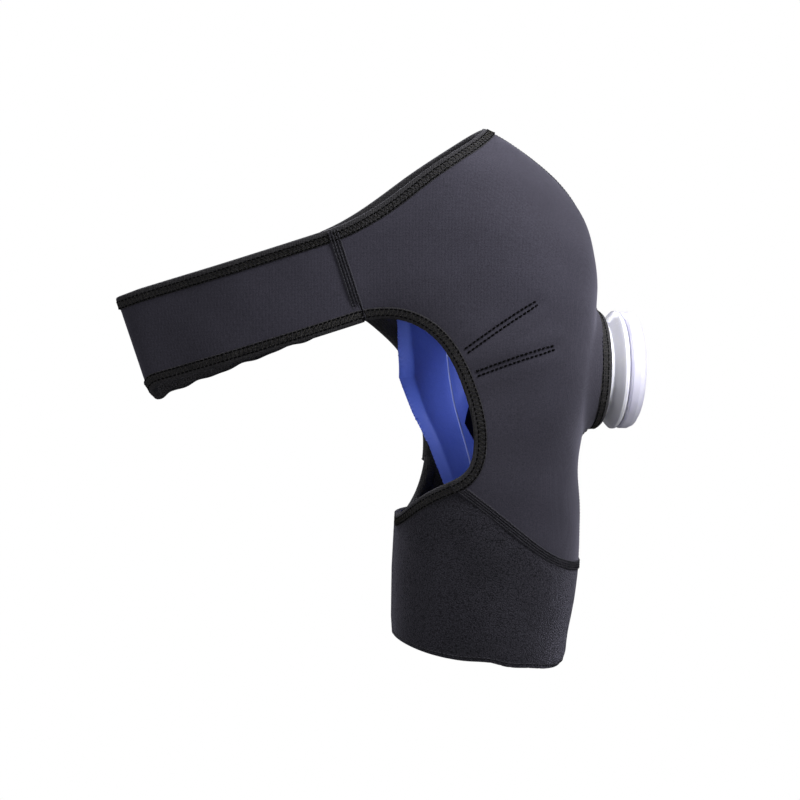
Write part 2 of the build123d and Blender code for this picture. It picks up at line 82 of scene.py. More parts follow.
TAIL_END = 131.4
STRAP_LINE = [(0.0, 0.0), (18.0, 16.5), (68.0, 36.0), (139.4, 49.0)]
TAIL_LINE = [(0.0, 0.0), (18.0, 18.0), (68.0, 42.4), (139.4, 55.3)]

NECK = {
    "front": [(17.0, 352.0), (-3.0, 339.4), (-44.0, 314.5), (-71.0, 294.5)],
    "back": [(17.0, 352.0), (-3.0, 338.0), (-44.0, 309.6), (-71.0, 290.0)],
}
HOLE = {
    "front": [(-60, 222), (-37, 209), (-21, 180), (-13.5, 146), (-19, 124.5), (-36, 114), (-53, 100.5)],
    "back": [(-66, 209.5), (-50, 193), (-39, 164), (-33.5, 133), (-36, 112), (-48, 92)],
}
HOLE_END = (-64.0, 84.0)
CUFF_SEAM = [(-60, 142), (-25, 116.5), (16, 83.5), (43, 64.5), (64, 57.5), (90, 54)]
HEM = [
    (-70, 15), (-56, 10), (-40, 6.2), (-18, 3.8), (-1, 2.6), (4.5, 1.0),
    (24, -1.6), (38, -3.8), (49, -5.6), (56, -6.2), (66, -6.2),
]
FLAP_TOP = [
    (-64.0, 90.5), (-40.0, 89.6), (0.0, 82.0), (24.0, 72.5), (35.0, 64.5),
    (39.6, 53.0), (40.4, 34), (39.6, 12.0), (36.5, 3.0), (29.0, -8.0),
]

PORT_Z = 186.8
TILT = math.radians(4.0)
OUT = np.array([math.cos(TILT), math.sin(TILT), -math.tan(math.radians(2.0))])
OUT /= np.linalg.norm(OUT)
UP = np.cross(OUT, [0.0, 1.0, 0.0])
UP /= np.linalg.norm(UP)
SIDE = np.cross(UP, OUT)
PORT = np.array([0.0, 0.0, PORT_Z])
PORT_HOLE = 36.6  # where the neoprene's outside is cut
PORT_LIP = 75.2

rng = np.random.default_rng(11)


# ---------------------------------------------------------------- curves
def cubic(knots, values, at, ends=None):
    """A smooth curve through values at knots: natural at its ends, or with the given slopes."""
    x, y, at = np.asarray(knots, float), np.asarray(values, float), np.asarray(at, float)
    flat = y.ndim == 1
    y = y[:, None] if flat else y
    n, h = len(x), np.diff(x)
    m, r = np.zeros((n, n)), np.zeros((n, y.shape[1]))
    d = np.diff(y, axis=0) / h[:, None]
    m[0, 0], m[0, 1], r[0] = 2, 1, 3 * d[0]
    m[-1, -1], m[-1, -2], r[-1] = 2, 1, 3 * d[-1]
    if ends is not None:
        m[0], r[0] = np.eye(n)[0], ends[0]
        m[-1], r[-1] = np.eye(n)[-1], ends[1]
    for i in range(1, n - 1):
        m[i, i - 1], m[i, i], m[i, i + 1] = 1 / h[i - 1], 2 / h[i - 1] + 2 / h[i], 1 / h[i]
        r[i] = 3 * (d[i - 1] / h[i - 1] + d[i] / h[i])
    s = np.linalg.solve(m, r)
    i = np.clip(np.searchsorted(x, at) - 1, 0, n - 2)
    t, k = ((at - x[i]) / h[i])[:, None], h[i][:, None]
    out = (
        (2 * t**3 - 3 * t**2 + 1) * y[i]
        + (t**3 - 2 * t**2 + t) * k * s[i]
        + (3 * t**2 - 2 * t**3) * y[i + 1]
        + (t**3 - t**2) * k * s[i + 1]
    )
    return out[:, 0] if flat else out


def chords(points):
    steps = np.linalg.norm(np.diff(np.asarray(points, float), axis=0), axis=1)
    return np.concatenate([[0.0], np.cumsum(steps)])


def smooth_line(points, count=160, ends=None):
    knots = chords(points)
    return cubic(knots, points, np.linspace(0, knots[-1], count), ends)


def evenly(points, step, closed=False):
    """The same line with points a step apart."""
    points = np.asarray(points, float)
    if closed:
        points = np.vstack([points, points[:1]])
    run = chords(points[:, :3])
    count = max(int(round(run[-1] / step)), 2)
    at = np.linspace(0, run[-1], count + 1)
    if closed:
        at = at[:-1]
    return np.stack([np.interp(at, run, points[:, k]) for k in range(points.shape[1])], axis=1)


def relax(points, rounds=2, closed=False):
    points = np.array(points, float)
    for _ in range(rounds):
        if closed:
            points = (np.roll(points, 1, 0) + 2 * points + np.roll(points, -1, 0)) / 4
        else:
            points[1:-1] = (points[:-2] + 2 * points[1:-1] + points[2:]) / 4
    return points


def unit(v):
    return v / np.maximum(np.linalg.norm(v, axis=-1, keepdims=True), 1e-9)


def side_distance(points, line):
    """Distance in x and z from an open line, positive to the left of its direction."""
    best = np.full(len(points), FAR)
    sign = np.ones(len(points))
    for a, b in zip(line[:-1], line[1:]):
        ab = b - a
        t = np.clip(((points - a) @ ab) / (ab @ ab), 0, 1)
        off = points - (a + t[:, None] * ab)
        d = np.linalg.norm(off, axis=1)
        cross = ab[0] * (points[:, 1] - a[1]) - ab[1] * (points[:, 0] - a[0])
        nearer = d < best
        best = np.where(nearer, d, best)
        sign = np.where(nearer, np.where(cross >= 0, 1.0, -1.0), sign)
    return best * sign


def strap_xz(run, across):
    p = FOLD + ALONG * run + ACROSS * across
    return (p[0], p[2])


# ---------------------------------------------------------------- meshes
def make(name, vertices, faces, material, sharp=40.0):
    mesh = bpy.data.meshes.new(name)
    mesh.from_pydata((np.asarray(vertices) * MM).tolist(), [], [list(map(int, f)) for f in faces])
    bm = bmesh.new()
    bm.from_mesh(mesh)
    bmesh.ops.remove_doubles(bm, verts=bm.verts, dist=2e-6)
    bmesh.ops.dissolve_degenerate(bm, edges=bm.edges, dist=1e-6)
    loose = [v for v in bm.verts if not v.link_faces]
    bmesh.ops.delete(bm, geom=loose, context="VERTS")
    bmesh.ops.recalc_face_normals(bm, faces=bm.faces)
    limit = math.radians(sharp)
    for e in bm.edges:
        e.smooth = len(e.link_faces) != 2 or e.calc_face_angle(0.0) < limit
    for f in bm.faces:
        f.smooth = True
    bm.to_mesh(mesh)
    bm.free()
    mesh.materials.append(material)
    o = linked(name, mesh)
    return o


def grid_faces(rows, columns, start=0):
    i, j = np.meshgrid(np.arange(rows - 1), np.arange(columns - 1), indexing="ij")
    a = (start + i * columns + j).ravel()
    return np.stack([a, a + 1, a + columns + 1, a + columns], axis=1).tolist()


def tube_faces(count, around, closed=False):
    """Faces between rings of points: one loop when closed, else with a cap at each end."""
    faces = []
    for i in range(count if closed else count - 1):
        a, b = i * around, (i + 1) % count * around
        for k in range(around):
            l = (k + 1) % around
            faces.append([a + k, a + l, b + l, b + k])
    if not closed:
        faces.append(list(reversed(range(around))))
        faces.append([(count - 1) * around + k for k in range(around)])
    return faces


def linked(name, data):
    """A new object in the scene."""
    o = bpy.data.objects.new(name, data)
    bpy.context.scene.collection.objects.link(o)
    return o


def clip(data, faces, column):
    """Cuts faces where a column of the vertices' data is negative. Cut edges get new vertices at zero."""
    value = data[:, column].copy()
    value[np.abs(value) < 0.02] = 0.0
    data[:, column] = value
    rows, cut, kept = [], {}, []
    count = len(data)
    for f in faces:
        v = [value[i] for i in f]
        if min(v) >= 0:
            if max(v) > 0:
                kept.append(list(f))
            continue
        if max(v) <= 0:
            continue
        g = []
        for i, j in zip(f, list(f[1:]) + [f[0]]):
            if value[i] >= 0:
                g.append(i)
            if value[i] * value[j] < 0:
                key = (i, j) if i < j else (j, i)
                if key not in cut:
                    a, b = key
                    s = value[a] / (value[a] - value[b])
                    row = data[a] + (data[b] - data[a]) * s
                    row[column] = 0.0
                    cut[key] = count + len(rows)
                    rows.append(row)
                g.append(cut[key])
        if len(g) >= 3:
            kept.append(g)
    data = np.vstack([data, rows]) if rows else data
    used = sorted({i for f in kept for i in f})
    new = {old: k for k, old in enumerate(used)}
    return data[used], [[new[i] for i in f] for f in kept]


def thick(name, data, faces, material, round_edge=0.5):
    """A closed piece from the outer points (columns 0-2) and the inner points (columns 3-5)."""
    n = len(data)
    outer, inner = data[:, 0:3], data[:, 3:6]
    uses = {}
    for f in faces:
        for i, j in zip(f, f[1:] + f[:1]):
            key = (i, j) if i < j else (j, i)
            uses.setdefault(key, []).append((i, j))
    rim = [u[0] for u in uses.values() if len(u) == 1]
    centre = {}
    for f in faces:
        c = outer[f].mean(axis=0)
        for i in f:
            centre.setdefault(i, []).append(c)
    middle, extra = {}, []
    for i, j in rim:
        for k in (i, j):
            if k not in middle:
                away = unit(outer[k] - np.mean(centre[k], axis=0))
                normal = unit(outer[k] - inner[k])
                away = unit(away - normal * (away @ normal))
                middle[k] = 2 * n + len(extra)
                extra.append((outer[k] + inner[k]) / 2 + away * round_edge)
    all_faces = [list(f) for f in faces] + [[i + n for i in reversed(f)] for f in faces]
    for i, j in rim:
        all_faces.append([j, i, middle[i], middle[j]])
        all_faces.append([middle[j], middle[i], i + n, j + n])
    vertices = np.vstack([outer, inner] + ([np.array(extra)] if extra else []))
    return make(name, vertices, all_faces, material)


class Threads:
    """Many small tubes joined into one mesh."""

    def __init__(self):
        self.vertices, self.faces = [], []

    def tube(self, points, radius, sides=5, flat=1.0, normal=None):
        points = np.asarray(points, float)
        t = unit(np.gradient(points, axis=0))
        n = np.tile([0.0, 0.0, 1.0], (len(points), 1)) if normal is None else np.asarray(normal, float)
        if n.ndim == 1:
            n = np.tile(n, (len(points), 1))
        b = unit(np.cross(t, n))
        n = np.cross(b, t)
        start = len(self.vertices)
        for p, u, v in zip(points, b, n):
            for k in range(sides):
                a = 2 * math.pi * k / sides
                self.vertices.append(p + radius * (math.cos(a) * u + flat * math.sin(a) * v))
        for i in range(len(points) - 1):
            for k in range(sides):
                l = (k + 1) % sides
                a = start + i * sides
                self.faces.append([a + k, a + l, a + sides + l, a + sides + k])
        last = start + (len(points) - 1) * sides
        self.faces.append([start + k for k in reversed(range(sides))])
        self.faces.append([last + k for k in range(sides)])

    def stitches(self, points, normals, pitch, radius, fill=0.72):
        """A row of separate stitches along a line."""
        both = evenly(np.hstack([points, normals]), pitch)
        for a, b in zip(both[:-1], both[1:]):
            n = unit(a[3:6])
            d = (b[:3] - a[:3]) * fill
            p, up = a[:3], n * radius * 0.45
            self.tube(
                [p - n * radius, p + d * 0.15 + up, p + d * 0.85 + up, p + d - n * radius], radius, 5, normal=n
            )

    def zigzag(self, first, second, normals, pitch, radius, lift=0.1):
        """A thread that goes to and fro between two lines."""
        one = evenly(np.hstack([first, normals]), pitch)
        count = len(one)
        run = chords(second)
        at = np.linspace(0, run[-1], count)
        two = np.stack([np.interp(at, run, second[:, k]) for k in range(3)], axis=1)
        points, ns = [], []
        for k in range(count - 1):
            n = unit(one[k, 3:6])
            middle = (two[k] + two[k + 1]) / 2
            points += [one[k, :3] + n * lift, middle + n * lift]
            ns += [n, n]
        if len(points) > 2:
            self.tube(points, radius, 4, normal=np.array(ns))

    def build(self, name, material, slot):
        mesh = bpy.data.meshes.new(name)
        mesh.from_pydata((np.array(self.vertices) * MM).tolist(), [], self.faces)
        mesh.polygons.foreach_set("use_smooth", [True] * len(mesh.polygons))
        mesh.materials.append(material)
        o = linked(name, mesh)
        return o


# ---------------------------------------------------------------- materials
def new_material(name, color, roughness, sheen=0.0, specular=0.3):
    m = bpy.data.materials.new(name)
    m.use_nodes = True
    tree = m.node_tree
    shader = tree.nodes["Principled BSDF"]
    shader.inputs["Base Color"].default_value = (*color, 1)
    shader.inputs["Roughness"].default_value = roughness
    shader.inputs["Specular IOR Level"].default_value = specular
    if sheen:
        shader.inputs["Sheen Weight"].default_value = sheen
        shader.inputs["Sheen Roughness"].default_value = 0.45
        shader.inputs["Sheen Tint"].default_value = (0.82, 0.8, 0.95, 1)
    return m, tree, shader


def node(tree, kind, **values):
    n = tree.nodes.new(kind)
    for key, value in values.items():
        if hasattr(n, key):
            setattr(n, key, value)
        else:
            n.inputs[key.replace("_", " ")].default_value = value
    return n


def object_coordinates(tree):
    return tree.nodes.new("ShaderNodeTexCoord").outputs["Object"]


def noise(tree, coordinates, scale, detail=3.0, roughness=0.55):
    n = node(tree, "ShaderNodeTexNoise")
    n.inputs["Scale"].default_value = scale
    n.inputs["Detail"].default_value = detail
    n.inputs["Roughness"].default_value = roughness
    tree.links.new(coordinates, n.inputs["Vector"])
    return n.outputs["Fac"]


def ramp(tree, value, stops):
    n = node(tree, "ShaderNodeValToRGB")
    tree.links.new(value, n.inputs["Fac"])
    elements = n.color_ramp.elements
    while len(elements) < len(stops):
        elements.new(0.5)
    for e, (position, color) in zip(elements, stops):
        e.position = position
        e.color = (*color, 1)
    return n.outputs["Color"]


def mix(tree, factor, a, b, kind="MIX"):
    n = node(tree, "ShaderNodeMix")
    n.data_type = "RGBA"
    n.blend_type = kind
    for socket, value in (("Factor", factor), ("A", a), ("B", b)):
        kinds = ("VALUE", "RGBA") if socket == "Factor" else ("RGBA",)
        target = [s for s in n.inputs if s.name == socket and s.type in kinds][0]
        if isinstance(value, (int, float)):
            target.default_value = value
        elif isinstance(value, tuple):
            target.default_value = (*value, 1)
        else:
            tree.links.new(value, target)
    return [s for s in n.outputs if s.type == "RGBA"][0]


def bump(tree, shader, height, distance, strength=0.6):
    n = node(tree, "ShaderNodeBump")
    n.inputs["Strength"].default_value = strength
    n.inputs["Distance"].default_value = distance
    tree.links.new(height, n.inputs["Height"])
    tree.links.new(n.outputs["Normal"], shader.inputs["Normal"])


def added(tree, a, b, weight):
    n = node(tree, "ShaderNodeMath", operation="MULTIPLY_ADD")
    tree.links.new(b, n.inputs[0])
    n.inputs[1].default_value = weight
    tree.links.new(a, n.inputs[2])
    return n.outputs[0]


def weave(tree, coordinates, pitch, weight=0.5):
    """Fine crossing ribs of a knitted or woven cloth, in the three directions of the object."""
    total = None
    for axis in "XYZ":
        n = node(tree, "ShaderNodeTexWave")
        n.wave_type = "BANDS"
        n.bands_direction = axis
        n.inputs["Scale"].default_value = 0.314 / pitch
        n.inputs["Distortion"].default_value = 1.2
        n.inputs["Detail"].default_value = 1.0
        n.inputs["Detail Scale"].default_value = 1.5
        tree.links.new(coordinates, n.inputs["Vector"])
        total = n.outputs["Fac"] if total is None else added(tree, total, n.outputs["Fac"], weight)
    return total


def neoprene_material():
    m, tree, shader = new_material("neoprene_jersey", (0.05, 0.048, 0.06), 0.82, 0.32, 0.22)
    at = object_coordinates(tree)
    broad = ramp(tree, noise(tree, at, 14, 3), [(0.3, (0.040, 0.038, 0.0475)), (0.72, (0.052, 0.0495, 0.0625))])
    fine = noise(tree, at, 1500, 2, 0.7)
    melange = ramp(tree, fine, [(0.32, (0.72, 0.72, 0.74)), (0.66, (1.28, 1.27, 1.3))])
    tree.links.new(mix(tree, 1.0, broad, melange, "MULTIPLY"), shader.inputs["Base Color"])
    height = added(tree, weave(tree, at, 0.0009), fine, 1.1)
    height = added(tree, height, noise(tree, at, 160, 3), 2.0)
    bump(tree, shader, height, 0.00012, 0.55)
    return m


def loop_material():
    m, tree, shader = new_material("loop_pile", (0.02, 0.02, 0.023), 0.95, 0.28, 0.1)
    at = object_coordinates(tree)
    cells = node(tree, "ShaderNodeTexVoronoi")
    cells.inputs["Scale"].default_value = 1250
    tree.links.new(at, cells.inputs["Vector"])
    tones = [(0.0, (0.074, 0.072, 0.082)), (0.45, (0.038, 0.037, 0.042)), (0.9, (0.011, 0.011, 0.012))]
    tufts = ramp(tree, cells.outputs["Distance"], tones)
    patches = ramp(tree, noise(tree, at, 38, 5, 0.62), [(0.3, (0.80, 0.80, 0.81)), (0.7, (1.12, 1.11, 1.15))])
    tree.links.new(mix(tree, 1.0, tufts, patches, "MULTIPLY"), shader.inputs["Base Color"])
    height = added(tree, cells.outputs["Distance"], noise(tree, at, 420, 3, 0.7), -1.2)
    bump(tree, shader, height, -0.0006, 0.8)
    return m


def tape_material():
    m, tree, shader = new_material("binding_tape", (0.014, 0.014, 0.014), 0.8, 0.1, 0.2)
    at = object_coordinates(tree)
    ribs = weave(tree, at, 0.0011, 0.8)
    tone = ramp(tree, ribs, [(0.3, (0.016, 0.016, 0.0165)), (0.8, (0.040, 0.039, 0.040))])
    specks = ramp(tree, noise(tree, at, 900, 2), [(0.35, (0.75, 0.75, 0.75)), (0.7, (1.35, 1.33, 1.25))])
    tree.links.new(mix(tree, 1.0, tone, specks, "MULTIPLY"), shader.inputs["Base Color"])
    bump(tree, shader, ribs, 0.00025, 0.8)
    return m


def thread_material(name, dark, light, roughness=0.55, specular=0.35):
    m, tree, shader = new_material(name, light, roughness, 0.0, specular)
    at = object_coordinates(tree)
    strands = node(tree, "ShaderNodeTexWave")
    strands.inputs["Scale"].default_value = 900
    strands.inputs["Distortion"].default_value = 3.0
    tree.links.new(at, strands.inputs["Vector"])
    tree.links.new(ramp(tree, strands.outputs["Fac"], [(0.2, dark), (0.8, light)]), shader.inputs["Base Color"])
    bump(tree, shader, strands.outputs["Fac"], 0.0001, 0.6)
    return m


def bag_material():
    m, tree, shader = new_material("bag_cloth", (0.11, 0.19, 0.83), 0.42, 0.25, 0.45)
    at = object_coordinates(tree)
    ribs = noise(tree, at, 1100, 3, 0.7)
    tone = ramp(tree, noise(tree, at, 22, 3, 0.5), [(0.28, (0.095, 0.165, 0.74)), (0.75, (0.135, 0.215, 0.90))])
    grain = ramp(tree, ribs, [(0.2, (0.9, 0.9, 0.93)), (0.9, (1.1, 1.1, 1.06))])
    tree.links.new(mix(tree, 1.0, tone, grain, "MULTIPLY"), shader.inputs["Base Color"])
    gloss = ramp(tree, noise(tree, at, 90, 3), [(0.3, (0.36, 0.36, 0.36)), (0.7, (0.52, 0.52, 0.52))])
    tree.links.new(gloss, shader.inputs["Roughness"])
    height = added(tree, ribs, noise(tree, at, 120, 4, 0.6), 4.0)
    bump(tree, shader, height, 0.0002, 0.45)
    return m


def plastic_material(name, color, light, roughness, transmission=0.0, subsurface=0.0, grain=300):
    m, tree, shader = new_material(name, color, roughness, 0.0, 0.5)
    shader.inputs["Transmission Weight"].default_value = transmission
    shader.inputs["Subsurface Weight"].default_value = subsurface
    shader.inputs["Subsurface Radius"].default_value = (0.004, 0.004, 0.005)
    shader.inputs["IOR"].default_value = 1.49
    at = object_coordinates(tree)
    tree.links.new(ramp(tree, noise(tree, at, 60, 3), [(0.3, color), (0.7, light)]), shader.inputs["Base Color"])
    duller = min(roughness + 0.16, 1)
    scuffs = ramp(tree, noise(tree, at, grain, 4, 0.7), [(0.35, (roughness,) * 3), (0.75, (duller,) * 3)])
    tree.links.new(scuffs, shader.inputs["Roughness"])
    bump(tree, shader, noise(tree, at, grain, 3), 0.00008, 0.35)
    return m


NEOPRENE = neoprene_material()
LOOP = loop_material()
TAPE_CLOTH = tape_material()
# near-black, darker than the black tape: the thread's own black plus painted shade of the stitch holes
THREAD = thread_material("black_thread", (0.001, 0.001, 0.001), (0.004, 0.004, 0.004), 0.85, 0.08)
PALE_THREAD = thread_material("olive_black_thread", (0.03, 0.029, 0.022), (0.085, 0.08, 0.062), 0.6, 0.3)
SEAM_THREAD = thread_material("charcoal_thread", (0.02, 0.02, 0.023), (0.062, 0.06, 0.068))
BAG = bag_material()
# paler blue than the bag: a painted highlight along the bag's crease ridge
CREASE_HIGHLIGHT_PAINT = thread_material("bag_painted_crease_highlight", (0.34, 0.43, 0.94), (0.42, 0.52, 0.97), 0.35, 0.5)
HOOKS = plastic_material("hook_plastic", (0.012, 0.012, 0.013), (0.024, 0.024, 0.026), 0.4)
CLEAR = plastic_material("clear_plastic", (0.88, 0.88, 0.93), (0.94, 0.94, 0.98), 0.16, 0.0, 0.2)
BAND = plastic_material("band_plastic", (0.55, 0.56, 0.6), (0.64, 0.65, 0.7), 0.4)
WHITE = plastic_material("white_plastic", (0.74, 0.73, 0.86), (0.80, 0.79, 0.90), 0.3, 0.0, 0.25)
GASKET = plastic_material("gasket_rubber", (0.6, 0.6, 0.6), (0.72, 0.72, 0.7), 0.6)

# ---------------------------------------------------------------- the shell's surface
ROWS, COLUMNS = 250, 130
STATION_TABLE = np.array(STATIONS)
middles = (STATION_TABLE[:, 0:2] + STATION_TABLE[:, 2:4]) / 2
knots = (chords(STATION_TABLE[:, 0:2]) * 2 + chords(middles)) / 3
rows_at = np.linspace(knots[0], knots[-1], ROWS)
table = cubic(knots, STATION_TABLE, rows_at)


def rim_angles(half_x, half_y, power):
    """Angles round half of a section, from its outermost point, that are evenly spaced along it."""
    a = np.pi * (1 - np.cos(np.linspace(0, np.pi, 900))) / 2
    x = half_x * np.sign(np.cos(a)) * np.abs(np.cos(a)) ** (2 / power)
    y = half_y * np.sin(a) ** (2 / power)
    run = chords(np.stack([x, y], axis=1))
    return np.interp(np.linspace(0, run[-1], COLUMNS), run, a)


def half_tube(way, grow=0.0):
    """Points of the front half (way -1) or back half (way 1) of the tube, row by row."""
    out = np.zeros((ROWS, COLUMNS, 3))
    for i, (rx, rz, ix, iz, depth, power) in enumerate(table):
        middle = np.array([(rx + ix) / 2, 0, (rz + iz) / 2])
        x_dir = unit(np.array([rx - ix, 0, rz - iz]))
        half = math.hypot(rx - ix, rz - iz) / 2
        a = rim_angles(half, depth, power)
        x = (half + grow) * np.sign(np.cos(a)) * np.abs(np.cos(a)) ** (2 / power)
        y = way * (depth + grow) * np.maximum(np.sin(a), 0) ** (2 / power)
        out[i] = middle + x[:, None] * x_dir + y[:, None] * np.array([0.0, 1.0, 0.0])
    out[:, 0, 1] = 0
    out[:, -1, 1] = 0
    return out


def normals_of(points):
    """Outward normals of a half tube, level with the other half's where they meet."""
    n = unit(np.cross(np.gradient(points, axis=0), np.gradient(points, axis=1)))
    centre = points.mean(axis=1, keepdims=True)
    if ((points - centre) * n).sum() < 0:
        n = -n
    n[:, 0, 1] = 0
    n[:, -1, 1] = 0
    return unit(n)


WAVES = [
    (unit(rng.normal(size=3)), rng.uniform(28, 75), rng.uniform(0, 6.28), rng.uniform(0.10, 0.22))
    for _ in range(9)
]


def wrinkle(p):
    """Slow waves in the cloth, less than a millimetre high."""
    total = np.zeros(p.shape[:-1])
    for direction, length, phase, height in WAVES:
        total += height * np.sin(p @ direction * 2 * math.pi / length + phase)
    return total


DARTS = [((-19.0, 202.4), (26.5, 232.7)), ((-12.4, 187.9), (37.7, 204.1))]


def dart_dip(p):
    """The dip along the darts of the front panel, with a low swelling beside it."""
    total = np.zeros(p.shape[:-1])
    for a, b in DARTS:
        a, b = np.array(a), np.array(b)
        ab = b - a
        t = np.clip(((p[..., [0, 2]] - a) @ ab) / (ab @ ab), 0, 1)
        d = np.linalg.norm(p[..., [0, 2]] - (a + t[..., None] * ab), axis=-1)
        total += -0.35 * np.exp(-((d / 3.0) ** 2)) + 0.3 * np.exp(-(((d - 7.5) / 4.5) ** 2))
    return np.where(p[..., 1] < 0, total, 0.0)


def port_place(p):
    """Distance along the port's axis and away from it."""
    rel = p - PORT
    along = rel @ OUT
    away = np.linalg.norm(rel - along[..., None] * OUT, axis=-1)
    return along, away


def flared(points):
    """The neoprene turned outwards round the port."""
    along, away = port_place(points)
    share = np.clip((PORT_HOLE + 10.5 - away) / 10.5, 0, 1)
    share = np.where(along > 25, share**2.8, 0)
    lift = np.maximum(PORT_LIP - along, 0) * np.clip(share, 0, 1)
    return points + lift[..., None] * OUT


class Half:
    """One half of the shell: its outer and inner points, normals and distances to the cut lines."""

    def __init__(self, side):
        self.way = -1 if side == "front" else 1
        base = half_tube(self.way)
        n = normals_of(base)
        fade = np.clip((base[..., 2] - 70) / 40, 0, 1)
        shift = wrinkle(base) + dart_dip(base)
        near_port = np.clip((port_place(base)[1] - 38) / 20, 0, 1)
        near_port = np.where(base[..., 0] > 20, near_port, 1.0)
        outer = flared(base + n * (shift * fade * near_port)[..., None])
        self.normal = normals_of(outer)
        self.outer = outer
        self.inner = outer - PANEL * self.normal
        self.base = base
        flat = base.reshape(-1, 3)[:, [0, 2]]
        top = HALF_WIDTH if side == "front" else LANDING_TOP
        neck = smooth_line([*NECK[side], strap_xz(STRAP_RUN, top), strap_xz(STRAP_RUN - 30, top)], 240)
        neck = np.vstack([[(60.0, 372.0)], neck])
        strap_edge = [strap_xz(STRAP_RUN - 30, -HALF_WIDTH), strap_xz(STRAP_RUN, -HALF_WIDTH)]
        hole = smooth_line([*strap_edge, *HOLE[side], HOLE_END], 300)
        hole = np.vstack([[strap_xz(0, -HALF_WIDTH)], hole, [(-74.0, 66.0)]])
        self.seam = smooth_line(CUFF_SEAM, 200)
        self.neck_line, self.hole_line = neck, hole
        end = np.array([strap_xz(STRAP_RUN, 200), strap_xz(STRAP_RUN, -200)])
        along, away = port_place(outer.reshape(-1, 3))
        port = np.where(along > 20, away - PORT_HOLE, 60.0)
        self.columns = np.stack(
            [
                side_distance(flat, neck),
                side_distance(flat, hole),
                side_distance(flat, self.seam),
                side_distance(flat, end),
                port,
            ],
            axis=1,
        )

    def sheet(self, outer_lift=0.0, inner_lift=0.0):
        """The panel's trimmed faces. Data: outer, inner, normal, then the five distances."""
        n = self.normal.reshape(-1, 3)
        data = np.hstack(
            [
                self.outer.reshape(-1, 3) + n * outer_lift,
                self.inner.reshape(-1, 3) - n * inner_lift,
                n,
                self.columns,
            ]
        )
        faces = grid_faces(ROWS, COLUMNS)
        for column in (NECK_EDGE, HOLE_EDGE, SEAM_EDGE, STRAP_EDGE, PORT_EDGE):
            data, faces = clip(data, faces, column)
        return data, faces


halves = {side: Half(side) for side in ("front", "back")}


def surface_of(grids):
    """A lookup of the nearest point on several grids of points, with outward normals."""
    vertices, faces, normals = [], [], []
    for points, n in grids:
        start = len(vertices)
        vertices += [tuple(p) for p in points.reshape(-1, 3)]
        faces += grid_faces(points.shape[0], points.shape[1], start)
        normals.append(n.reshape(-1, 3))
    tree = BVHTree.FromPolygons(vertices, faces)
    normals = np.vstack(normals)

    def onto(p):
        place, _, index, _ = tree.find_nearest(Vector(p))
        return np.array(place), unit(normals[faces[index]].mean(axis=0))

    return onto


shell_outer = surface_of([(h.outer, h.normal) for h in halves.values()])
shell_inner = surface_of([(h.inner, h.normal) for h in halves.values()])


def edge_path(data, column, order, keep=None):
    """The cut edge of a trimmed sheet where a column is zero, in the order of a line seen from the front."""
    on = np.abs(data[:, column]) < 1e-6
    if keep is not None:
        on &= keep(data)
    rows = data[on]
    flat = rows[:, [0, 2]]
    run = chords(order)
    best, at = np.full(len(rows), FAR), np.zeros(len(rows))
    for k, (a, b) in enumerate(zip(order[:-1], order[1:])):
        ab = b - a
        t = np.clip(((flat - a) @ ab) / (ab @ ab), 0, 1)
        d = np.linalg.norm(flat - (a + t[:, None] * ab), axis=1)
        nearer = d < best
        best = np.where(nearer, d, best)
        at = np.where(nearer, run[k] + t * np.linalg.norm(ab), at)
    return rows[np.argsort(at)][:, :9]


# ---------------------------------------------------------------- tape, seams
def frames(path, normals, side):
    t = unit(np.gradient(path, axis=0))
    return unit(np.cross(normals, t)) * side


# (share of the tape's reach, height in tapes) from its free edge to the cut edge, outside and inside
TAPE_OUTSIDE = ((1.0, -0.3), (1.0, 0.55), (0.93, 0.95), (0.72, 1.08), (0.5, 0.93), (0.28, 1.1), (0.08, 1.05))
TAPE_INSIDE = ((0.08, 1.0), (0.5, 0.9), (0.93, 0.9), (1.0, 0.5), (1.0, -0.3))


def tape(name, rows, side, outer, inner, reach=TAPE_WIDTH, wavy=0.0, overlap=0.0):
    """Tape folded round a cut edge. rows hold the edge's outer point, inner point and normal."""
    rows = relax(evenly(rows, 1.6), 2)
    before = rows[0] + (rows[0] - rows[1]) * overlap
    after = rows[-1] + (rows[-1] - rows[-2]) * overlap
    rows = np.vstack([before, rows, after])
    p, q, n = rows[:, 0:3], rows[:, 3:6], unit(rows[:, 6:9])
    b = frames(p, n, side)
    rings = []
    for i in range(len(p)):
        swell = 1 + wavy * math.sin(i * 1.35) + wavy * math.sin(i * 0.47 + 1)
        ring = []
        for share, height in TAPE_OUTSIDE:
            place, m = outer(p[i] + b[i] * reach * share)
            ring.append(place + m * TAPE * height * (swell if height > 0 else 1))
        middle = (p[i] + q[i]) / 2
        for degrees in (62, 36, 12, -12, -36, -62):
            a = math.radians(degrees)
            ring.append(middle + n[i] * math.sin(a) * (PANEL / 2 + TAPE * 1.08) - b[i] * math.cos(a) * 1.25)
        for share, height in TAPE_INSIDE:
            place, m = inner(q[i] + b[i] * reach * share)
            ring.append(place - m * TAPE * height)
        rings.append(ring)
    rings = np.array(rings)
    faces = tube_faces(*rings.shape[:2])
    return make(name, rings.reshape(-1, 3), faces, TAPE_CLOTH, 60), rows, b


def offset_rows(rows, b, distance, outer, height):
    points, normals = [], []
    for p, d in zip(rows[:, 0:3], b):
        place, m = outer(p + d * distance)
        points.append(place + m * height)
        normals.append(m)
    return np.array(points), np.array(normals)


def tape_stitches(rows, b, outer, threads, pale, spread=(2.0, 6.3)):
    """Two rows of stitches on a tape and the zigzag between them."""
    near, n1 = offset_rows(rows, b, spread[0], outer, TAPE * 1.02)
    far, n2 = offset_rows(rows, b, spread[1], outer, TAPE * 1.02)
    threads.stitches(near, n1, 2.9, 0.46, 0.66)
    threads.stitches(far, n2, 2.9, 0.46, 0.66)
    pale.zigzag(near, far, n1, 2.9, 0.26, 0.16)


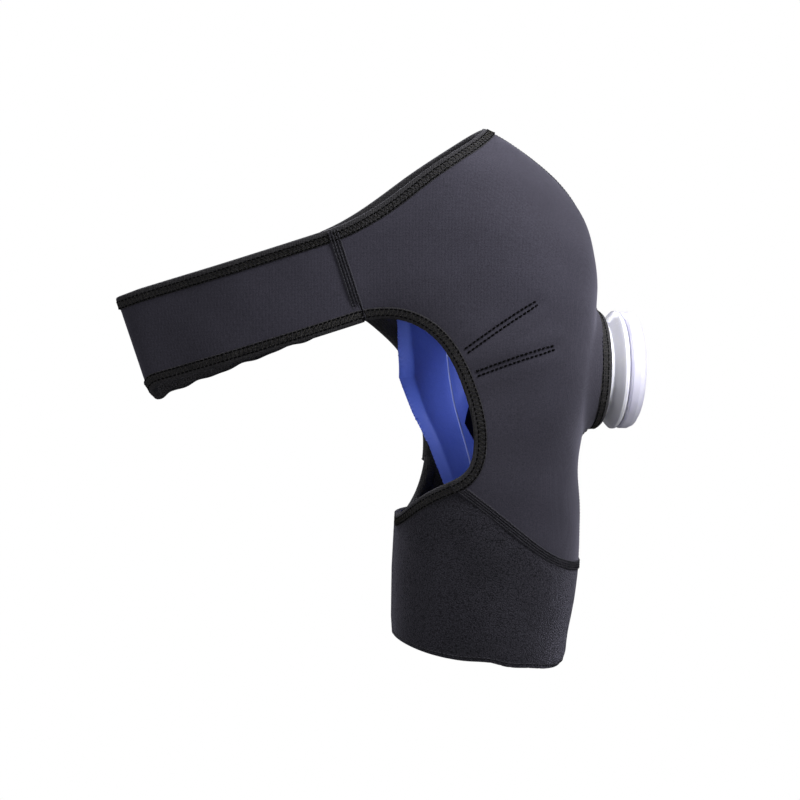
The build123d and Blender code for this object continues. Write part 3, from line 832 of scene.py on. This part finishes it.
def ribbon(name, rows, width, height, outer, material, lines=4):
    """A flat seam: a low band with raised rows of thread along it."""
    rows = relax(evenly(rows, 1.5), 2)
    p, n = rows[:, 0:3], unit(rows[:, 6:9])
    b = frames(p, n, 1)
    shares = np.linspace(-0.5, 0.5, 4 * lines + 1)
    rings = []
    for i in range(len(p)):
        ring = []
        for k, share in enumerate(shares):
            place, m = outer(p[i] + b[i] * width * share)
            ridge = 0.5 + 0.5 * math.cos(2 * math.pi * (k / 4 - 0.5)) if 0 < k < len(shares) - 1 else -0.5
            ring.append(place + m * height * (0.35 + 0.65 * ridge if ridge >= 0 else -0.5))
        ring.append(ring[-1] - n[i] * 0.8)
        ring.append(ring[0] - n[i] * 0.8)
        rings.append(ring)
    rings = np.array(rings)
    faces = tube_faces(*rings.shape[:2])
    return make(name, rings.reshape(-1, 3), faces, material, 70), rows, b


root_pieces = []


def on_root(o):
    root_pieces.append(o)
    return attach(o, "root")


# ---------------------------------------------------------------- shell panels
# columns of a trimmed sheet's data that hold the distances to its edges
NECK_EDGE, HOLE_EDGE, SEAM_EDGE, STRAP_EDGE, PORT_EDGE = range(9, 14)
CUFF_HOLE_EDGE, CUFF_SEAM_EDGE, CUFF_HEM_EDGE, CUFF_FLAP_EDGE = range(9, 13)
sheets = {}
for side in ("front", "back"):
    data, faces = halves[side].sheet()
    sheets[side] = data
    panel = on_root(thick(f"{side}_panel_cloth", data, faces, NEOPRENE))
    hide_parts(f"{side}_panel")
    sheets[side + "_piece"] = panel

# ---------------------------------------------------------------- cuff
CUFF_R, CUFF_WALL = 60.0, 4.0
CUFF_HEIGHTS = np.arange(-8.0, 146.0, 1.6)
FLAP_SHIFT = 6.5
FLAP_R = math.hypot(CUFF_R, FLAP_SHIFT)


LEAN_AT = [-8, -5, -3, 0.8, 4, 8, 14, 24, 34, 54, 62, 80, 100]
LEAN = [-11.5, -9.0, -7.7, -6.4, -6.0, -5.5, -4.6, -2.6, -0.9, 1.6, 2.3, 2.3, 2.0]


def tapered(p):
    """The cuff's outer side leans in towards the hem."""
    p = np.array(p, float)
    lean = np.interp(p[..., 2], LEAN_AT, LEAN)
    inner_lean = np.interp(p[..., 2], [8, 22, 55, 90], [0.9, 0.0, 0.5, 2.4])
    share = np.clip(p[..., 0] / 60, 0, 1.1)
    share = share * share * (3 - 2 * np.minimum(share, 1))
    p[..., 0] += lean * share + inner_lean * np.clip(-p[..., 0] / 60, 0, 1) ** 2
    return p


def soft_waves(p):
    return 0.35 * np.sin(p[..., 2] / 11 + p[..., 0] / 17) + 0.3 * np.sin(p[..., 0] / 9 - p[..., 2] / 23 + 1.3)


def cuff_grid(columns):
    """Outer points and normals for columns of (angle, centre y, radius)."""
    heights = CUFF_HEIGHTS
    points = np.zeros((len(heights), len(columns), 3))
    normals = np.zeros_like(points)
    for j, (angle, centre, radius) in enumerate(columns):
        c, s = math.cos(angle), math.sin(angle)
        across, deep = np.full(len(heights), radius * c), np.full(len(heights), centre + radius * s)
        points[:, j] = np.stack([across, deep, heights], axis=1)
        normals[:, j] = (c, s, 0)
    return points, normals


seam_line, hem_line = smooth_line(CUFF_SEAM, 200), smooth_line(HEM, 260)
flap_line = smooth_line(FLAP_TOP, 240)


def cuff_columns(points, side):
    flat = points.reshape(-1, 3)[:, [0, 2]]
    return [
        side_distance(flat, halves[side].hole_line),
        -side_distance(flat, seam_line),
        side_distance(flat, hem_line),
    ]


def cuff_piece(name, columns, side, flap_from=None, thickness=CUFF_WALL):
    points, normals = cuff_grid(columns)
    hole, seam, hem = cuff_columns(points, side)
    inner = points - normals * thickness
    shape = points.shape[:2]
    flap = np.full(hole.shape, 60.0)
    if flap_from is not None:
        run = chords(points[0])
        away = np.abs(run - run[flap_from])
        fold_column = points[:, flap_from : flap_from + 1].repeat(shape[1], axis=1)
        flat = fold_column.reshape(-1, 3)[:, [0, 2]]
        on_flap = (np.arange(shape[1]) > flap_from)[None].repeat(shape[0], axis=0).ravel()
        steep = np.tile(away * 3, shape[0])
        edge = -side_distance(points.reshape(-1, 3)[:, [0, 2]], flap_line)
        edge_at_fold = -side_distance(flat, flap_line)
        hole_at_fold = side_distance(flat, halves[side].hole_line)
        seam_at_fold = -side_distance(flat, seam_line)
        flap = np.where(on_flap, edge, edge_at_fold + steep)
        hole = np.where(on_flap, hole_at_fold + steep, hole)
        seam = np.where(on_flap, seam_at_fold + steep, seam)
    lift = soft_waves(points)[..., None]
    fade = np.clip((points[..., 0:1] + 60) / 30, 0, 1)
    points, inner = points + normals * lift * fade, inner + normals * lift * fade
    outer, inner = tapered(points), tapered(inner)
    edges = np.stack([hole, seam, hem, flap], axis=1)
    data = np.hstack([outer.reshape(-1, 3), inner.reshape(-1, 3), normals.reshape(-1, 3), edges])
    faces = grid_faces(*shape)
    for column in (CUFF_HOLE_EDGE, CUFF_SEAM_EDGE, CUFF_HEM_EDGE, CUFF_FLAP_EDGE):
        data, faces = clip(data, faces, column)
    return thick(name, data, faces, LOOP), data, (outer, normals, inner)


front_angles = [(math.radians(a), 0.0, CUFF_R) for a in np.linspace(352.0, 180.0, 118)]
flap_start = 180 + math.degrees(math.atan2(FLAP_SHIFT, CUFF_R))
flap_angles = [(math.radians(a), FLAP_SHIFT, FLAP_R) for a in np.linspace(flap_start, 46.0, 96)][1:]
cuff_wrap, cuff_data, cuff_grids = cuff_piece(
    "cuff_wrap_cloth", front_angles + flap_angles, "front", len(front_angles) - 1
)
back_angles = [
    (math.radians(a), 0.0, CUFF_R - 2.8 * float(np.clip((a - 112) / 36, 0, 1) ** 1.5))
    for a in np.linspace(-8.0, 148.0, 108)
]
cuff_back, back_data, back_grids = cuff_piece("cuff_back_cloth", back_angles, "back")

cuff_outer = surface_of([(cuff_grids[0], cuff_grids[1])])
cuff_inner = surface_of([(cuff_grids[2], cuff_grids[1])])
back_outer = surface_of([(back_grids[0], back_grids[1])])
back_inner = surface_of([(back_grids[2], back_grids[1])])


def on_cuff(o):
    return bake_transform(o)


on_cuff(cuff_wrap)
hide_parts("cuff_front", "cuff_flap")
on_root(cuff_back)
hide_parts("cuff_back")

# ---------------------------------------------------------------- strap
SEAM_SLOPE = 0.06


def plan_curve(line, way, count):
    points = [(x, way * y) for x, y in line]
    tangent = np.array([[0.0, way], [1.0, way * SEAM_SLOPE]])
    return smooth_line(points, count, tangent)


front_plan = plan_curve(STRAP_LINE, -1, 150)[::-1]
front_plan = np.vstack([[STRAP_RUN + 1.4, -49.1], front_plan])
tail_plan = plan_curve(TAIL_LINE, 1, 150)[1:]
tail_plan = tail_plan[tail_plan[:, 0] <= TAIL_END]
strap_plan = np.vstack([front_plan, tail_plan])
strap_plan = evenly(np.hstack([strap_plan, np.zeros((len(strap_plan), 1))]), 1.6)[:, :2]
fold_at = int(np.argmin(strap_plan[:, 0]))
fold_run = chords(strap_plan) - chords(strap_plan)[fold_at]


def strap_points(plan, low, high, runs, count=44):
    """Outer points and normals of a strap, for a plan and its edges at each point of it."""
    tangent = unit(np.gradient(plan, axis=0))
    out = np.stack([tangent[:, 1], -tangent[:, 0]], axis=1)
    middle = np.array([60.0, 0.0])
    if ((plan - middle) * out).sum() < 0:
        out = -out
    points = np.zeros((len(plan), count, 3))
    normals = np.zeros_like(points)
    for i in range(len(plan)):
        v = np.linspace(low[i], high[i], count)
        slack = 3.6 * np.clip((-27 - v) / 14, 0, 1.2) ** 1.3 * math.exp(-((runs[i] / 34.0) ** 2))
        slack = slack - 2.6 * math.exp(-((runs[i] / 20.0) ** 2))
        hollow = 0.9 * np.cos(v / 30 * math.pi / 2) * min(1.0, abs(runs[i]) / 60) - 0.5
        wave = 0.30 * np.sin(runs[i] / 15 + v / 21) + 0.25 * np.sin(runs[i] / 8.5 - v / 13)
        fade = min(1.0, abs(runs[i]) / 14) * np.clip((STRAP_RUN + 8 - abs(runs[i])) / 30, 0, 1)
        base = FOLD + ALONG * plan[i, 0] + np.array([0.0, plan[i, 1], 0.0])
        direction = ALONG * out[i, 0] + np.array([0.0, out[i, 1], 0.0])
        sway = ((hollow * 0.6 + wave) * fade)[:, None] * direction
        points[i] = base + v[:, None] * ACROSS + slack[:, None] * ALONG + sway
        normals[i] = direction
    return points, normals


low = np.interp(fold_run, [-10, -4, 2, 6, 14, 46, 160], [-30.0, -33.5, -40.5, -41.0, -38.6, -39.0, -38.4])
ruffle = 0.55 * np.sin(fold_run / 5.2) + 0.35 * np.sin(fold_run / 2.9 + 1)
low += np.where(fold_run > 0, ruffle, 0.0) * np.clip(fold_run / 10, 0, 1)
high = np.interp(fold_run, [-20, 2, 40, 130], [30.0, 28.5, 22.0, 21.5])
strap_outer_grid, strap_normals = strap_points(strap_plan, low, high, fold_run)
strap_inner_grid = strap_outer_grid - PANEL * strap_normals
strap_outer = surface_of([(strap_outer_grid, strap_normals)])
strap_inner = surface_of([(strap_inner_grid, strap_normals)])


def on_strap(o):
    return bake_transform(o)


def whole_grid(name, outer, inner, normals, material):
    data = np.hstack([outer.reshape(-1, 3), inner.reshape(-1, 3), normals.reshape(-1, 3)])
    return thick(name, data, grid_faces(outer.shape[0], outer.shape[1]), material)


strap = on_strap(
    whole_grid("chest_strap_cloth", strap_outer_grid, strap_inner_grid, strap_normals, NEOPRENE)
)
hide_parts("strap_front", "strap_tail")

landing_plan = plan_curve(STRAP_LINE, 1, 150)
landing_plan = landing_plan[landing_plan[:, 0] >= LANDING_START]
landing_runs = np.full(len(landing_plan), 400.0)
landing_outer_grid, landing_normals = strap_points(
    landing_plan, np.full(len(landing_plan), -30.0), np.full(len(landing_plan), LANDING_TOP), landing_runs
)
landing_inner_grid = landing_outer_grid - PANEL * landing_normals
landing_outer = surface_of([(landing_outer_grid, landing_normals)])
landing_inner = surface_of([(landing_inner_grid, landing_normals)])
landing = on_root(
    whole_grid("landing_cloth", landing_outer_grid, landing_inner_grid, landing_normals, LOOP)
)
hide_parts("strap_landing")


def grid_edge(outer, inner, normals, column=None, row=None):
    index = (slice(None), column) if row is None else (row, slice(None))
    return np.hstack([outer[index], inner[index], normals[index]])


# ---------------------------------------------------------------- bindings
shell_threads, shell_pale = Threads(), Threads()
strap_threads, strap_pale = Threads(), Threads()

neck_rows = {side: edge_path(sheets[side], NECK_EDGE, halves[side].neck_line) for side in ("front", "back")}
over_neck = np.vstack([neck_rows["back"][::-1], neck_rows["front"]])
neck_tape, rows, b = tape("neck_binding_tape", over_neck, 1, shell_outer, shell_inner, wavy=0.03, overlap=1.0)
on_root(neck_tape)
tape_stitches(rows, b, shell_outer, shell_threads, shell_pale)

for side, surfaces, cuff_rows_data in (
    ("front", (cuff_outer, cuff_inner), cuff_data),
    ("back", (back_outer, back_inner), back_data),
):
    line = halves[side].hole_line
    upper = edge_path(sheets[side], HOLE_EDGE, line)
    way = 1 if side == "front" else -1
    lower = edge_path(cuff_rows_data, CUFF_HOLE_EDGE, line, lambda d: d[:, 1] * -way > -1)
    upper_tape, rows, b = tape(
        f"{side}_armhole_binding_tape", upper, way, shell_outer, shell_inner, wavy=0.03, overlap=1.0
    )
    on_root(upper_tape)
    tape_stitches(rows, b, shell_outer, shell_threads, shell_pale)
    lower_tape, rows, b = tape(f"{side}_cuff_top_binding_tape", lower, way, surfaces[0], surfaces[1], wavy=0.03)
    on_root(lower_tape)
    tape_stitches(rows, b, surfaces[0], shell_threads, shell_pale)
    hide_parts(f"{side}_armhole_binding")

top_edge = grid_edge(strap_outer_grid, strap_inner_grid, strap_normals, column=-1)
bottom_edge = grid_edge(strap_outer_grid, strap_inner_grid, strap_normals, column=0)
end_edge = grid_edge(strap_outer_grid, strap_inner_grid, strap_normals, row=-1)
for name, edge, way in (
    ("strap_upper_binding_tape", top_edge, 1),
    ("strap_lower_binding_tape", bottom_edge, -1),
    ("strap_end_binding_tape", end_edge, -1),
):
    piece, rows, b = tape(name, edge, way, strap_outer, strap_inner, wavy=0.04)
    on_strap(piece)
    tape_stitches(rows, b, strap_outer, strap_threads, strap_pale)
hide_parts("tail_binding")

for name, column, way in (("landing_upper_binding_tape", -1, -1), ("landing_lower_binding_tape", 0, 1)):
    edge = grid_edge(landing_outer_grid, landing_inner_grid, landing_normals, column=column)
    piece, rows, b = tape(name, edge, way, landing_outer, landing_inner)
    on_root(piece)
    tape_stitches(rows, b, landing_outer, shell_threads, shell_pale)
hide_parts("neck_binding")

# the ring of tape on the port's turned-out edge
turns = np.linspace(0, 2 * math.pi, 151)[:-1]
profile = [
    (38.6, 67.6), (38.95, 70.0), (38.75, 72.6), (38.3, 74.9), (37.2, 76.2), (35.6, 76.55), (34.1, 76.1), (33.3, 74.9),
    (33.05, 72.5), (33.1, 69.0), (34.4, 68.6), (36.5, 68.0),
]
ring = []
for i, a in enumerate(turns):
    direction = math.cos(a) * UP + math.sin(a) * SIDE
    swell = 0.12 * math.sin(i * 1.25)
    ring.append([PORT + direction * (r + (swell if r > 38 else 0)) + OUT * along for r, along in profile])
ring = np.array(ring)
ring_faces = tube_faces(*ring.shape[:2], closed=True)
port_tape = on_root(make("port_binding_tape", ring.reshape(-1, 3), ring_faces, TAPE_CLOTH, 60))
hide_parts("port_binding")
radial = np.array([math.cos(a) * UP + math.sin(a) * SIDE for a in np.append(turns, turns[:1])])
lines = [PORT + radial * r + OUT * along for r, along in ((39.0, 70.0), (38.75, 73.6))]
for line in lines:
    shell_threads.stitches(line, radial, 2.9, 0.33)
shell_pale.zigzag(lines[0], lines[1], radial, 2.9, 0.2, 0.12)

# ---------------------------------------------------------------- seams
seam_threads = Threads()


def joined(name, rows, width, outer, riders, lines=4, height=0.75):
    piece, rows, b = ribbon(name, rows, width, height, outer, SEAM_CLOTH, lines)
    riders(piece)
    for share in (-0.36, -0.12, 0.12, 0.36):
        points, normals = offset_rows(rows, b, width * share, outer, height * 0.95)
        seam_threads.stitches(points, normals, 2.1, 0.24, 0.8)
    edge_a, n = offset_rows(rows, b, -width * 0.42, outer, height * 0.8)
    edge_b, _ = offset_rows(rows, b, width * 0.42, outer, height * 0.8)
    seam_threads.zigzag(edge_a, edge_b, n, 1.9, 0.14, 0.16)


def seam_cloth_material():
    m, tree, shader = new_material("flat_seam", (0.035, 0.034, 0.039), 0.8, 0.2, 0.2)
    at = object_coordinates(tree)
    ribs = weave(tree, at, 0.0009, 0.8)
    tone = ramp(tree, ribs, [(0.2, (0.016, 0.0155, 0.018)), (0.85, (0.042, 0.041, 0.047))])
    tree.links.new(tone, shader.inputs["Base Color"])
    bump(tree, shader, ribs, 0.0002, 0.7)
    return m


SEAM_CLOTH = seam_cloth_material()

for side in ("front", "back"):
    rows = edge_path(sheets[side], SEAM_EDGE, halves[side].seam)
    joined(f"{side}_cuff_seam", rows, 6.2, shell_outer, on_root)
    end_line = np.array([strap_xz(STRAP_RUN, 60), strap_xz(STRAP_RUN, -60)])
    rows = edge_path(sheets[side], STRAP_EDGE, end_line)
    joined(f"{side}_strap_seam", rows, 7.6, shell_outer, on_root, height=1.25)

ridge_n = halves["front"].normal[:, 0]
ridge = np.hstack([halves["front"].outer[:, 0], halves["front"].inner[:, 0], ridge_n])
ridge_columns = halves["front"].columns.reshape(ROWS, COLUMNS, 5)[:, 0]
for name, keep in (
    ("outer_seam_below_port", (ridge_columns[:, 4] > 1.5) & (ridge[:, 2] < PORT_Z) & (ridge_columns[:, 2] > 1)),
    ("shoulder_seam_above_port", (ridge_columns[:, 4] > 1.5) & (ridge[:, 2] > PORT_Z) & (ridge_columns[:, 0] > 6)),
):
    joined(name, ridge[keep], 5.0, shell_outer, on_root, height=0.5)

# darts
def seen_from_front(x, z):
    """The point of the front panel behind a point of the front view."""
    grid = halves["front"].outer
    flat = grid.reshape(-1, 3)
    d = (flat[:, 0] - x) ** 2 + (flat[:, 2] - z) ** 2
    k = int(np.argmin(np.where(flat[:, 1] < -12, d, FAR)))
    start = np.array([x, flat[k, 1], z])
    for _ in range(4):
        place, m = shell_outer(start)
        off = start - place
        start = start - np.array([0, 1, 0]) * (off @ m) / min(m[1], -0.2)
    place, m = shell_outer(start)
    return place, m


dart_threads = Threads()
for a, b in DARTS:
    a, b = np.array(a), np.array(b)
    across = unit(np.array([-(b - a)[1], (b - a)[0]]))
    lines = []
    for offset in (-1.6, 1.6):
        points, normals = [], []
        for t in np.linspace(0, 1, 34):
            squeeze = 1.0 if t < 0.85 else 1 - (t - 0.85) * 1.6
            bow = 0.8 * math.sin(t * math.pi)
            x, z = a + (b - a) * t + across * (offset * squeeze + bow)
            place, m = seen_from_front(x, z)
            points.append(place)
            normals.append(m)
        lines.append((np.array(points), np.array(normals)))
    for points, normals in lines:
        dart_threads.stitches(points + normals * 0.22, normals, 3.0, 0.66, 0.42)
on_root(dart_threads.build("dart_stitches", THREAD, "binding_tape"))

# the hem's row of stitches
hem_rows = edge_path(cuff_data, CUFF_HEM_EDGE, hem_line, lambda d: d[:, 1] < 2)
hem_rows = relax(evenly(hem_rows, 1.5), 2)
hem_in = frames(hem_rows[:, :3], unit(hem_rows[:, 6:9]), 1)
if hem_in[:, 2].mean() < 0:
    hem_in = -hem_in
hem_threads = Threads()
points, normals = offset_rows(hem_rows, hem_in, 2.6, cuff_outer, 0.05)
hem_threads.stitches(points, normals, 3.0, 0.33)
on_cuff(hem_threads.build("hem_stitches", SEAM_THREAD, "loop_cloth"))

on_root(shell_threads.build("binding_stitches", THREAD, "binding_tape"))
on_root(shell_pale.build("binding_zigzag", PALE_THREAD, "binding_tape"))
on_strap(strap_threads.build("strap_stitches", THREAD, "binding_tape"))
on_strap(strap_pale.build("strap_zigzag", PALE_THREAD, "binding_tape"))
on_root(seam_threads.build("seam_threads", SEAM_THREAD, "neoprene"))


# ---------------------------------------------------------------- hook tape
def hook_field(name, outer, normals, rows, columns, body, replaced):
    """A patch of hook tape on the inside of a cloth, with rows of bent hooks."""
    back = outer[rows[0] : rows[1], columns[0] : columns[1]]
    n = normals[rows[0] : rows[1], columns[0] : columns[1]]
    face = back - n * 0.75
    data = np.hstack([back.reshape(-1, 3), face.reshape(-1, 3), n.reshape(-1, 3)])
    patch = thick(name, data, grid_faces(back.shape[0], back.shape[1]), HOOKS, 0.3)
    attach(patch, body)
    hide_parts(replaced)
    hooks = Threads()
    for i in range(1, back.shape[0] - 1):
        for j in range(1, back.shape[1] - 1):
            p, m = face[i, j], -n[i, j]
            t = unit(face[i, j + 1] - face[i, j]) * (1 if i % 2 else -1)
            bent = [p - m * 0.1, p + m * 0.45, p + m * 0.7 + t * 0.25, p + m * 0.45 + t * 0.5]
            hooks.tube(bent, 0.14, 4, normal=unit(np.cross(m, t)))
    field = hooks.build(name + "_hooks", HOOKS, "hook_tape")
    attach(field, body)


tail_rows = [i for i in range(len(strap_plan)) if fold_run[i] > 0 and 78 < strap_plan[i, 0] < 120]
tail_v = np.linspace(low[tail_rows[0]], high[tail_rows[0]], 44)
tail_columns = [j for j in range(44) if -21 < tail_v[j] < 18]
hook_field(
    "strap_hook_tape", strap_inner_grid, strap_normals,
    (tail_rows[0], tail_rows[-1] + 1), (tail_columns[0], tail_columns[-1] + 1),
    "strap_tail", "strap_hook_patch",
)
hook_rows = [i for i, z in enumerate(CUFF_HEIGHTS) if 16 < z < 62]
all_columns = front_angles + flap_angles
hook_columns = [
    j for j, (a, centre, _) in enumerate(all_columns) if centre > 0 and math.radians(60) < a < math.radians(104)
]
hook_field(
    "cuff_hook_tape", cuff_grids[2], cuff_grids[1],
    (hook_rows[0], hook_rows[-1] + 1), (hook_columns[0], hook_columns[-1] + 1),
    "cuff_flap", "cuff_hook_patch",
)

# ---------------------------------------------------------------- ice bag
BAG_BACK = [(-53.5, 232), (-58.0, 178), (-46, 152), (-21, 98), (20, 104), (80, 112), (80, 262), (0, 262)]
BAG_FRONT = [(12, 240), (10, 122), (30, 112), (80, 112), (80, 262), (40, 262)]
# a hole cut out of the bag's back half so the dark shell inside shows through: painted shadow of a fold in the bag
BAG_FOLD_SHADOW_HOLE = [
    (-8.2, 145.0), (-5.0, 156.0), (1.0, 166.0), (16.0, 168.0),
    (40.0, 158.0), (44.0, 142.0), (16.0, 128.0), (-0.5, 132.0),
]
CREASE = [(-26.0, 212.0), (-21.9, 194.8), (-16.4, 162.8), (-8.6, 134.8), (-5.2, 122.8), (-1.0, 104.0)]


def polygon_distance(points, corners):
    """Distance inside a polygon seen from the front, negative outside."""
    corners = np.array(corners, float)
    if ((np.roll(corners, -1, 0) - corners)[:, 0] * (np.roll(corners, -1, 0) + corners)[:, 1]).sum() > 0:
        corners = corners[::-1]
    inside = np.zeros(len(points), bool)
    best = np.full(len(points), FAR)
    for a, b in zip(corners, np.roll(corners, -1, 0)):
        ab = b - a
        t = np.clip(((points - a) @ ab) / (ab @ ab), 0, 1)
        best = np.minimum(best, np.linalg.norm(points - (a + t[:, None] * ab), axis=1))
        crosses = (a[1] > points[:, 1]) != (b[1] > points[:, 1])
        with np.errstate(divide="ignore", invalid="ignore"):
            x = a[0] + (points[:, 1] - a[1]) * ab[0] / (ab[1] if ab[1] else 1e-9)
        inside ^= crosses & (points[:, 0] < x)
    return np.where(inside, best, -best)


BAG_OFF_WALL = 5.6  # from the shell's outside
BAG_OFF_CUFF = 3.2  # more below the cuff's top
BAG_CROWN, BAG_ROUNDING, BAG_THICKEST = 9.5, 3.6, 13.5


def bag_half(side):
    """One half of the bag: outer and inner points, normals and distance inside its outline."""
    h = halves[side]
    n = normals_of(h.base)
    off_wall = BAG_OFF_WALL + BAG_OFF_CUFF * np.clip((152 - h.base[..., 2:3]) / 22, 0, 1)
    outer = h.base - n * off_wall
    flat = h.base.reshape(-1, 3)[:, [0, 2]]
    corners = BAG_BACK if side == "back" else BAG_FRONT
    inside = polygon_distance(flat, corners)
    if side == "back":
        depth_edge = h.base.reshape(-1, 3)[:, 1] - 27.0
        depth_edge = depth_edge + np.maximum(flat[:, 0] + 40, 0) * 0.6
        inside = np.where(flat[:, 0] < 20, np.minimum(inside, depth_edge), inside)
    crowned = BAG_CROWN * np.clip(inside / BAG_ROUNDING, 0, 1) ** 0.5
    # cut out the hole that stands for the fold's shadow
    if side == "back":
        inside = np.minimum(inside, -polygon_distance(flat, BAG_FOLD_SHADOW_HOLE))
    d = side_distance(flat, smooth_line(CREASE, 60))
    ridge = 0.9 * np.exp(-np.abs(d) / 2.2) + 0.22 * np.clip(d, 0, 14)
    folds = 0.12 * np.sin(flat[:, 0] / 17 + flat[:, 1] / 43) + 0.3 * np.sin(flat[:, 1] / 21 - flat[:, 0] / 27 + 2)
    ridge = ridge if side == "back" else 0
    depth = crowned * 0.9 + ridge * np.clip(inside / 8, 0, 1) + folds * np.clip(inside / 14, 0, 1)
    depth = np.clip(depth, 0.5, BAG_THICKEST).reshape(ROWS, COLUMNS, 1)
    inner = outer - n * depth
    return np.hstack([outer.reshape(-1, 3), inner.reshape(-1, 3), n.reshape(-1, 3), inside[:, None]])


bag_data, bag_faces = [], []
for side in ("front", "back"):
    data = bag_half(side)
    faces = grid_faces(ROWS, COLUMNS)
    data, faces = clip(data, faces, 9)
    start = sum(len(d) for d in bag_data)
    bag_data.append(data)
    bag_faces += [[i + start for i in f] for f in faces]
bag_data = np.vstack(bag_data)
# the two halves meet on the outer side, so their shared points become one
key = {}
alias = np.arange(len(bag_data))
for i, p in enumerate(bag_data[:, :3]):
    if abs(p[1]) < 0.01:
        k = (round(p[0], 2), round(p[2], 2))
        alias[i] = key.setdefault(k, i)
bag_faces = [[int(alias[i]) for i in f] for f in bag_faces]
bag_faces = [f for f in bag_faces if len(set(f)) == len(f)]
ice_bag = on_root(thick("ice_bag_cloth", bag_data, bag_faces, BAG, 0.8))
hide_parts("ice_bag")

back_bag = bag_half("back")
behind = np.where(back_bag[:, 1] > 0, 0.0, FAR)
crease_points = [
    back_bag[int(np.argmin((back_bag[:, 0] - x) ** 2 + (back_bag[:, 2] - z) ** 2 + behind)), 3:6]
    for x, z in smooth_line(CREASE, 60)
]
# a thin paler tube along the crease ridge: painted highlight on the ridge
crease_highlight = Threads()
crease_highlight.tube(relax(crease_points, 12), 0.55, 6, normal=(0.0, -1.0, 0.0))
on_root(crease_highlight.build("ice_bag_painted_crease_highlight", CREASE_HIGHLIGHT_PAINT, "bag_cloth"))

# ---------------------------------------------------------------- collar and cap
for name, material in (("bag_collar", CLEAR), ("clamp_ring", BAND), ("cap_shell", WHITE), ("cap_gasket", GASKET)):
    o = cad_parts[name]
    o.data.materials.clear()
    o.data.materials.append(material)

# ---------------------------------------------------------------- floor, light, camera
FLOOR_BOUNCE = 0.2
FLOOR_Z = -0.0082
floor_mesh = bpy.data.meshes.new("floor")
floor_mesh.from_pydata([(x, y, FLOOR_Z) for x, y in ((-6, -6), (6, -6), (6, 9), (-6, 9))], [], [[0, 1, 2, 3]])
floor = linked("floor", floor_mesh)
floor_material = bpy.data.materials.new("pale_floor")
floor_material.use_nodes = True
tree = floor_material.node_tree
tree.nodes.clear()
paint = node(tree, "ShaderNodeBsdfDiffuse")
paint.inputs["Color"].default_value = (FLOOR_BOUNCE, FLOOR_BOUNCE, FLOOR_BOUNCE, 1)
glow = node(tree, "ShaderNodeEmission")
ray = node(tree, "ShaderNodeLightPath")
blend_floor = node(tree, "ShaderNodeMixShader")
output = node(tree, "ShaderNodeOutputMaterial")
tree.links.new(ray.outputs["Is Camera Ray"], blend_floor.inputs[0])
tree.links.new(paint.outputs[0], blend_floor.inputs[1])
tree.links.new(glow.outputs[0], blend_floor.inputs[2])
tree.links.new(blend_floor.outputs[0], output.inputs["Surface"])
floor_mesh.materials.append(floor_material)

world = bpy.data.worlds.new("studio")
bpy.context.scene.world = world
world.use_nodes = True
tree = world.node_tree
background = tree.nodes["Background"]
at = tree.nodes.new("ShaderNodeTexCoord").outputs["Generated"]
split = tree.nodes.new("ShaderNodeSeparateXYZ")
tree.links.new(at, split.inputs[0])
SKY = [(0.0, (0.07, 0.07, 0.075)), (0.35, (0.14, 0.14, 0.15)), (1.0, (0.45, 0.45, 0.48))]
sky = ramp(tree, split.outputs["Z"], SKY)
ray = tree.nodes.new("ShaderNodeLightPath")
tree.links.new(mix(tree, ray.outputs["Is Camera Ray"], sky, (1.0, 1.0, 1.0)), background.inputs["Color"])
background.inputs["Strength"].default_value = 1.0


def aimed(light, place, target, power, color):
    light.energy = power
    light.color = color
    o = linked(light.name, light)
    o.location = place
    o.rotation_euler = (Vector(target) - Vector(place)).to_track_quat("-Z", "Y").to_euler()


def area_light(name, place, target, size, power, color=(0.93, 0.93, 1.0)):
    light = bpy.data.lights.new(name, "AREA")
    light.size = size
    aimed(light, place, target, power, color)


def spot_light(name, place, target, degrees, power, color=(1, 1, 1)):
    light = bpy.data.lights.new(name, "SPOT")
    light.spot_size = math.radians(degrees)
    light.spot_blend = 0.7
    light.shadow_soft_size = 0.03
    aimed(light, place, target, power, color)


area_light("key", (0.25, -0.36, 0.60), (0.0, 0.0, 0.24), 0.26, 3.2, (0.92, 0.92, 1.0))
area_light("fill", (-1.1, -1.0, 0.25), (-0.03, 0.04, 0.16), 0.7, 3.4)
area_light("top", (0.32, 0.0, 0.72), (0.03, 0.0, 0.28), 0.3, 1.3)
area_light("back", (-0.35, 1.0, 0.9), (-0.05, 0.05, 0.2), 0.6, 7.0)
spot_light("armhole_spot", (-0.6, -0.9, 0.08), (-0.028, 0.04, 0.165), 5.4, 15.0)
spot_light("cap_spot", (0.8, -0.8, 0.35), (0.1, 0.0, 0.187), 7.0, 26.0)

AZIMUTH, ELEVATION, DISTANCE = math.radians(-6.0), math.radians(5.5), 1.8
target = Vector((-0.05525, 0.0, 0.16583))
camera_data = bpy.data.cameras.new("camera")
camera_data.lens = 124.615
camera_data.sensor_width = 36.0
camera = linked("camera", camera_data)
level = math.cos(ELEVATION)
back_off = Vector((math.sin(AZIMUTH) * level, -math.cos(AZIMUTH) * level, math.sin(ELEVATION)))
camera.location = target + back_off * DISTANCE
camera.rotation_euler = (-back_off).to_track_quat("-Z", "Y").to_euler()
bpy.context.scene.camera = camera
bpy.context.scene.view_settings.view_transform = "Standard"
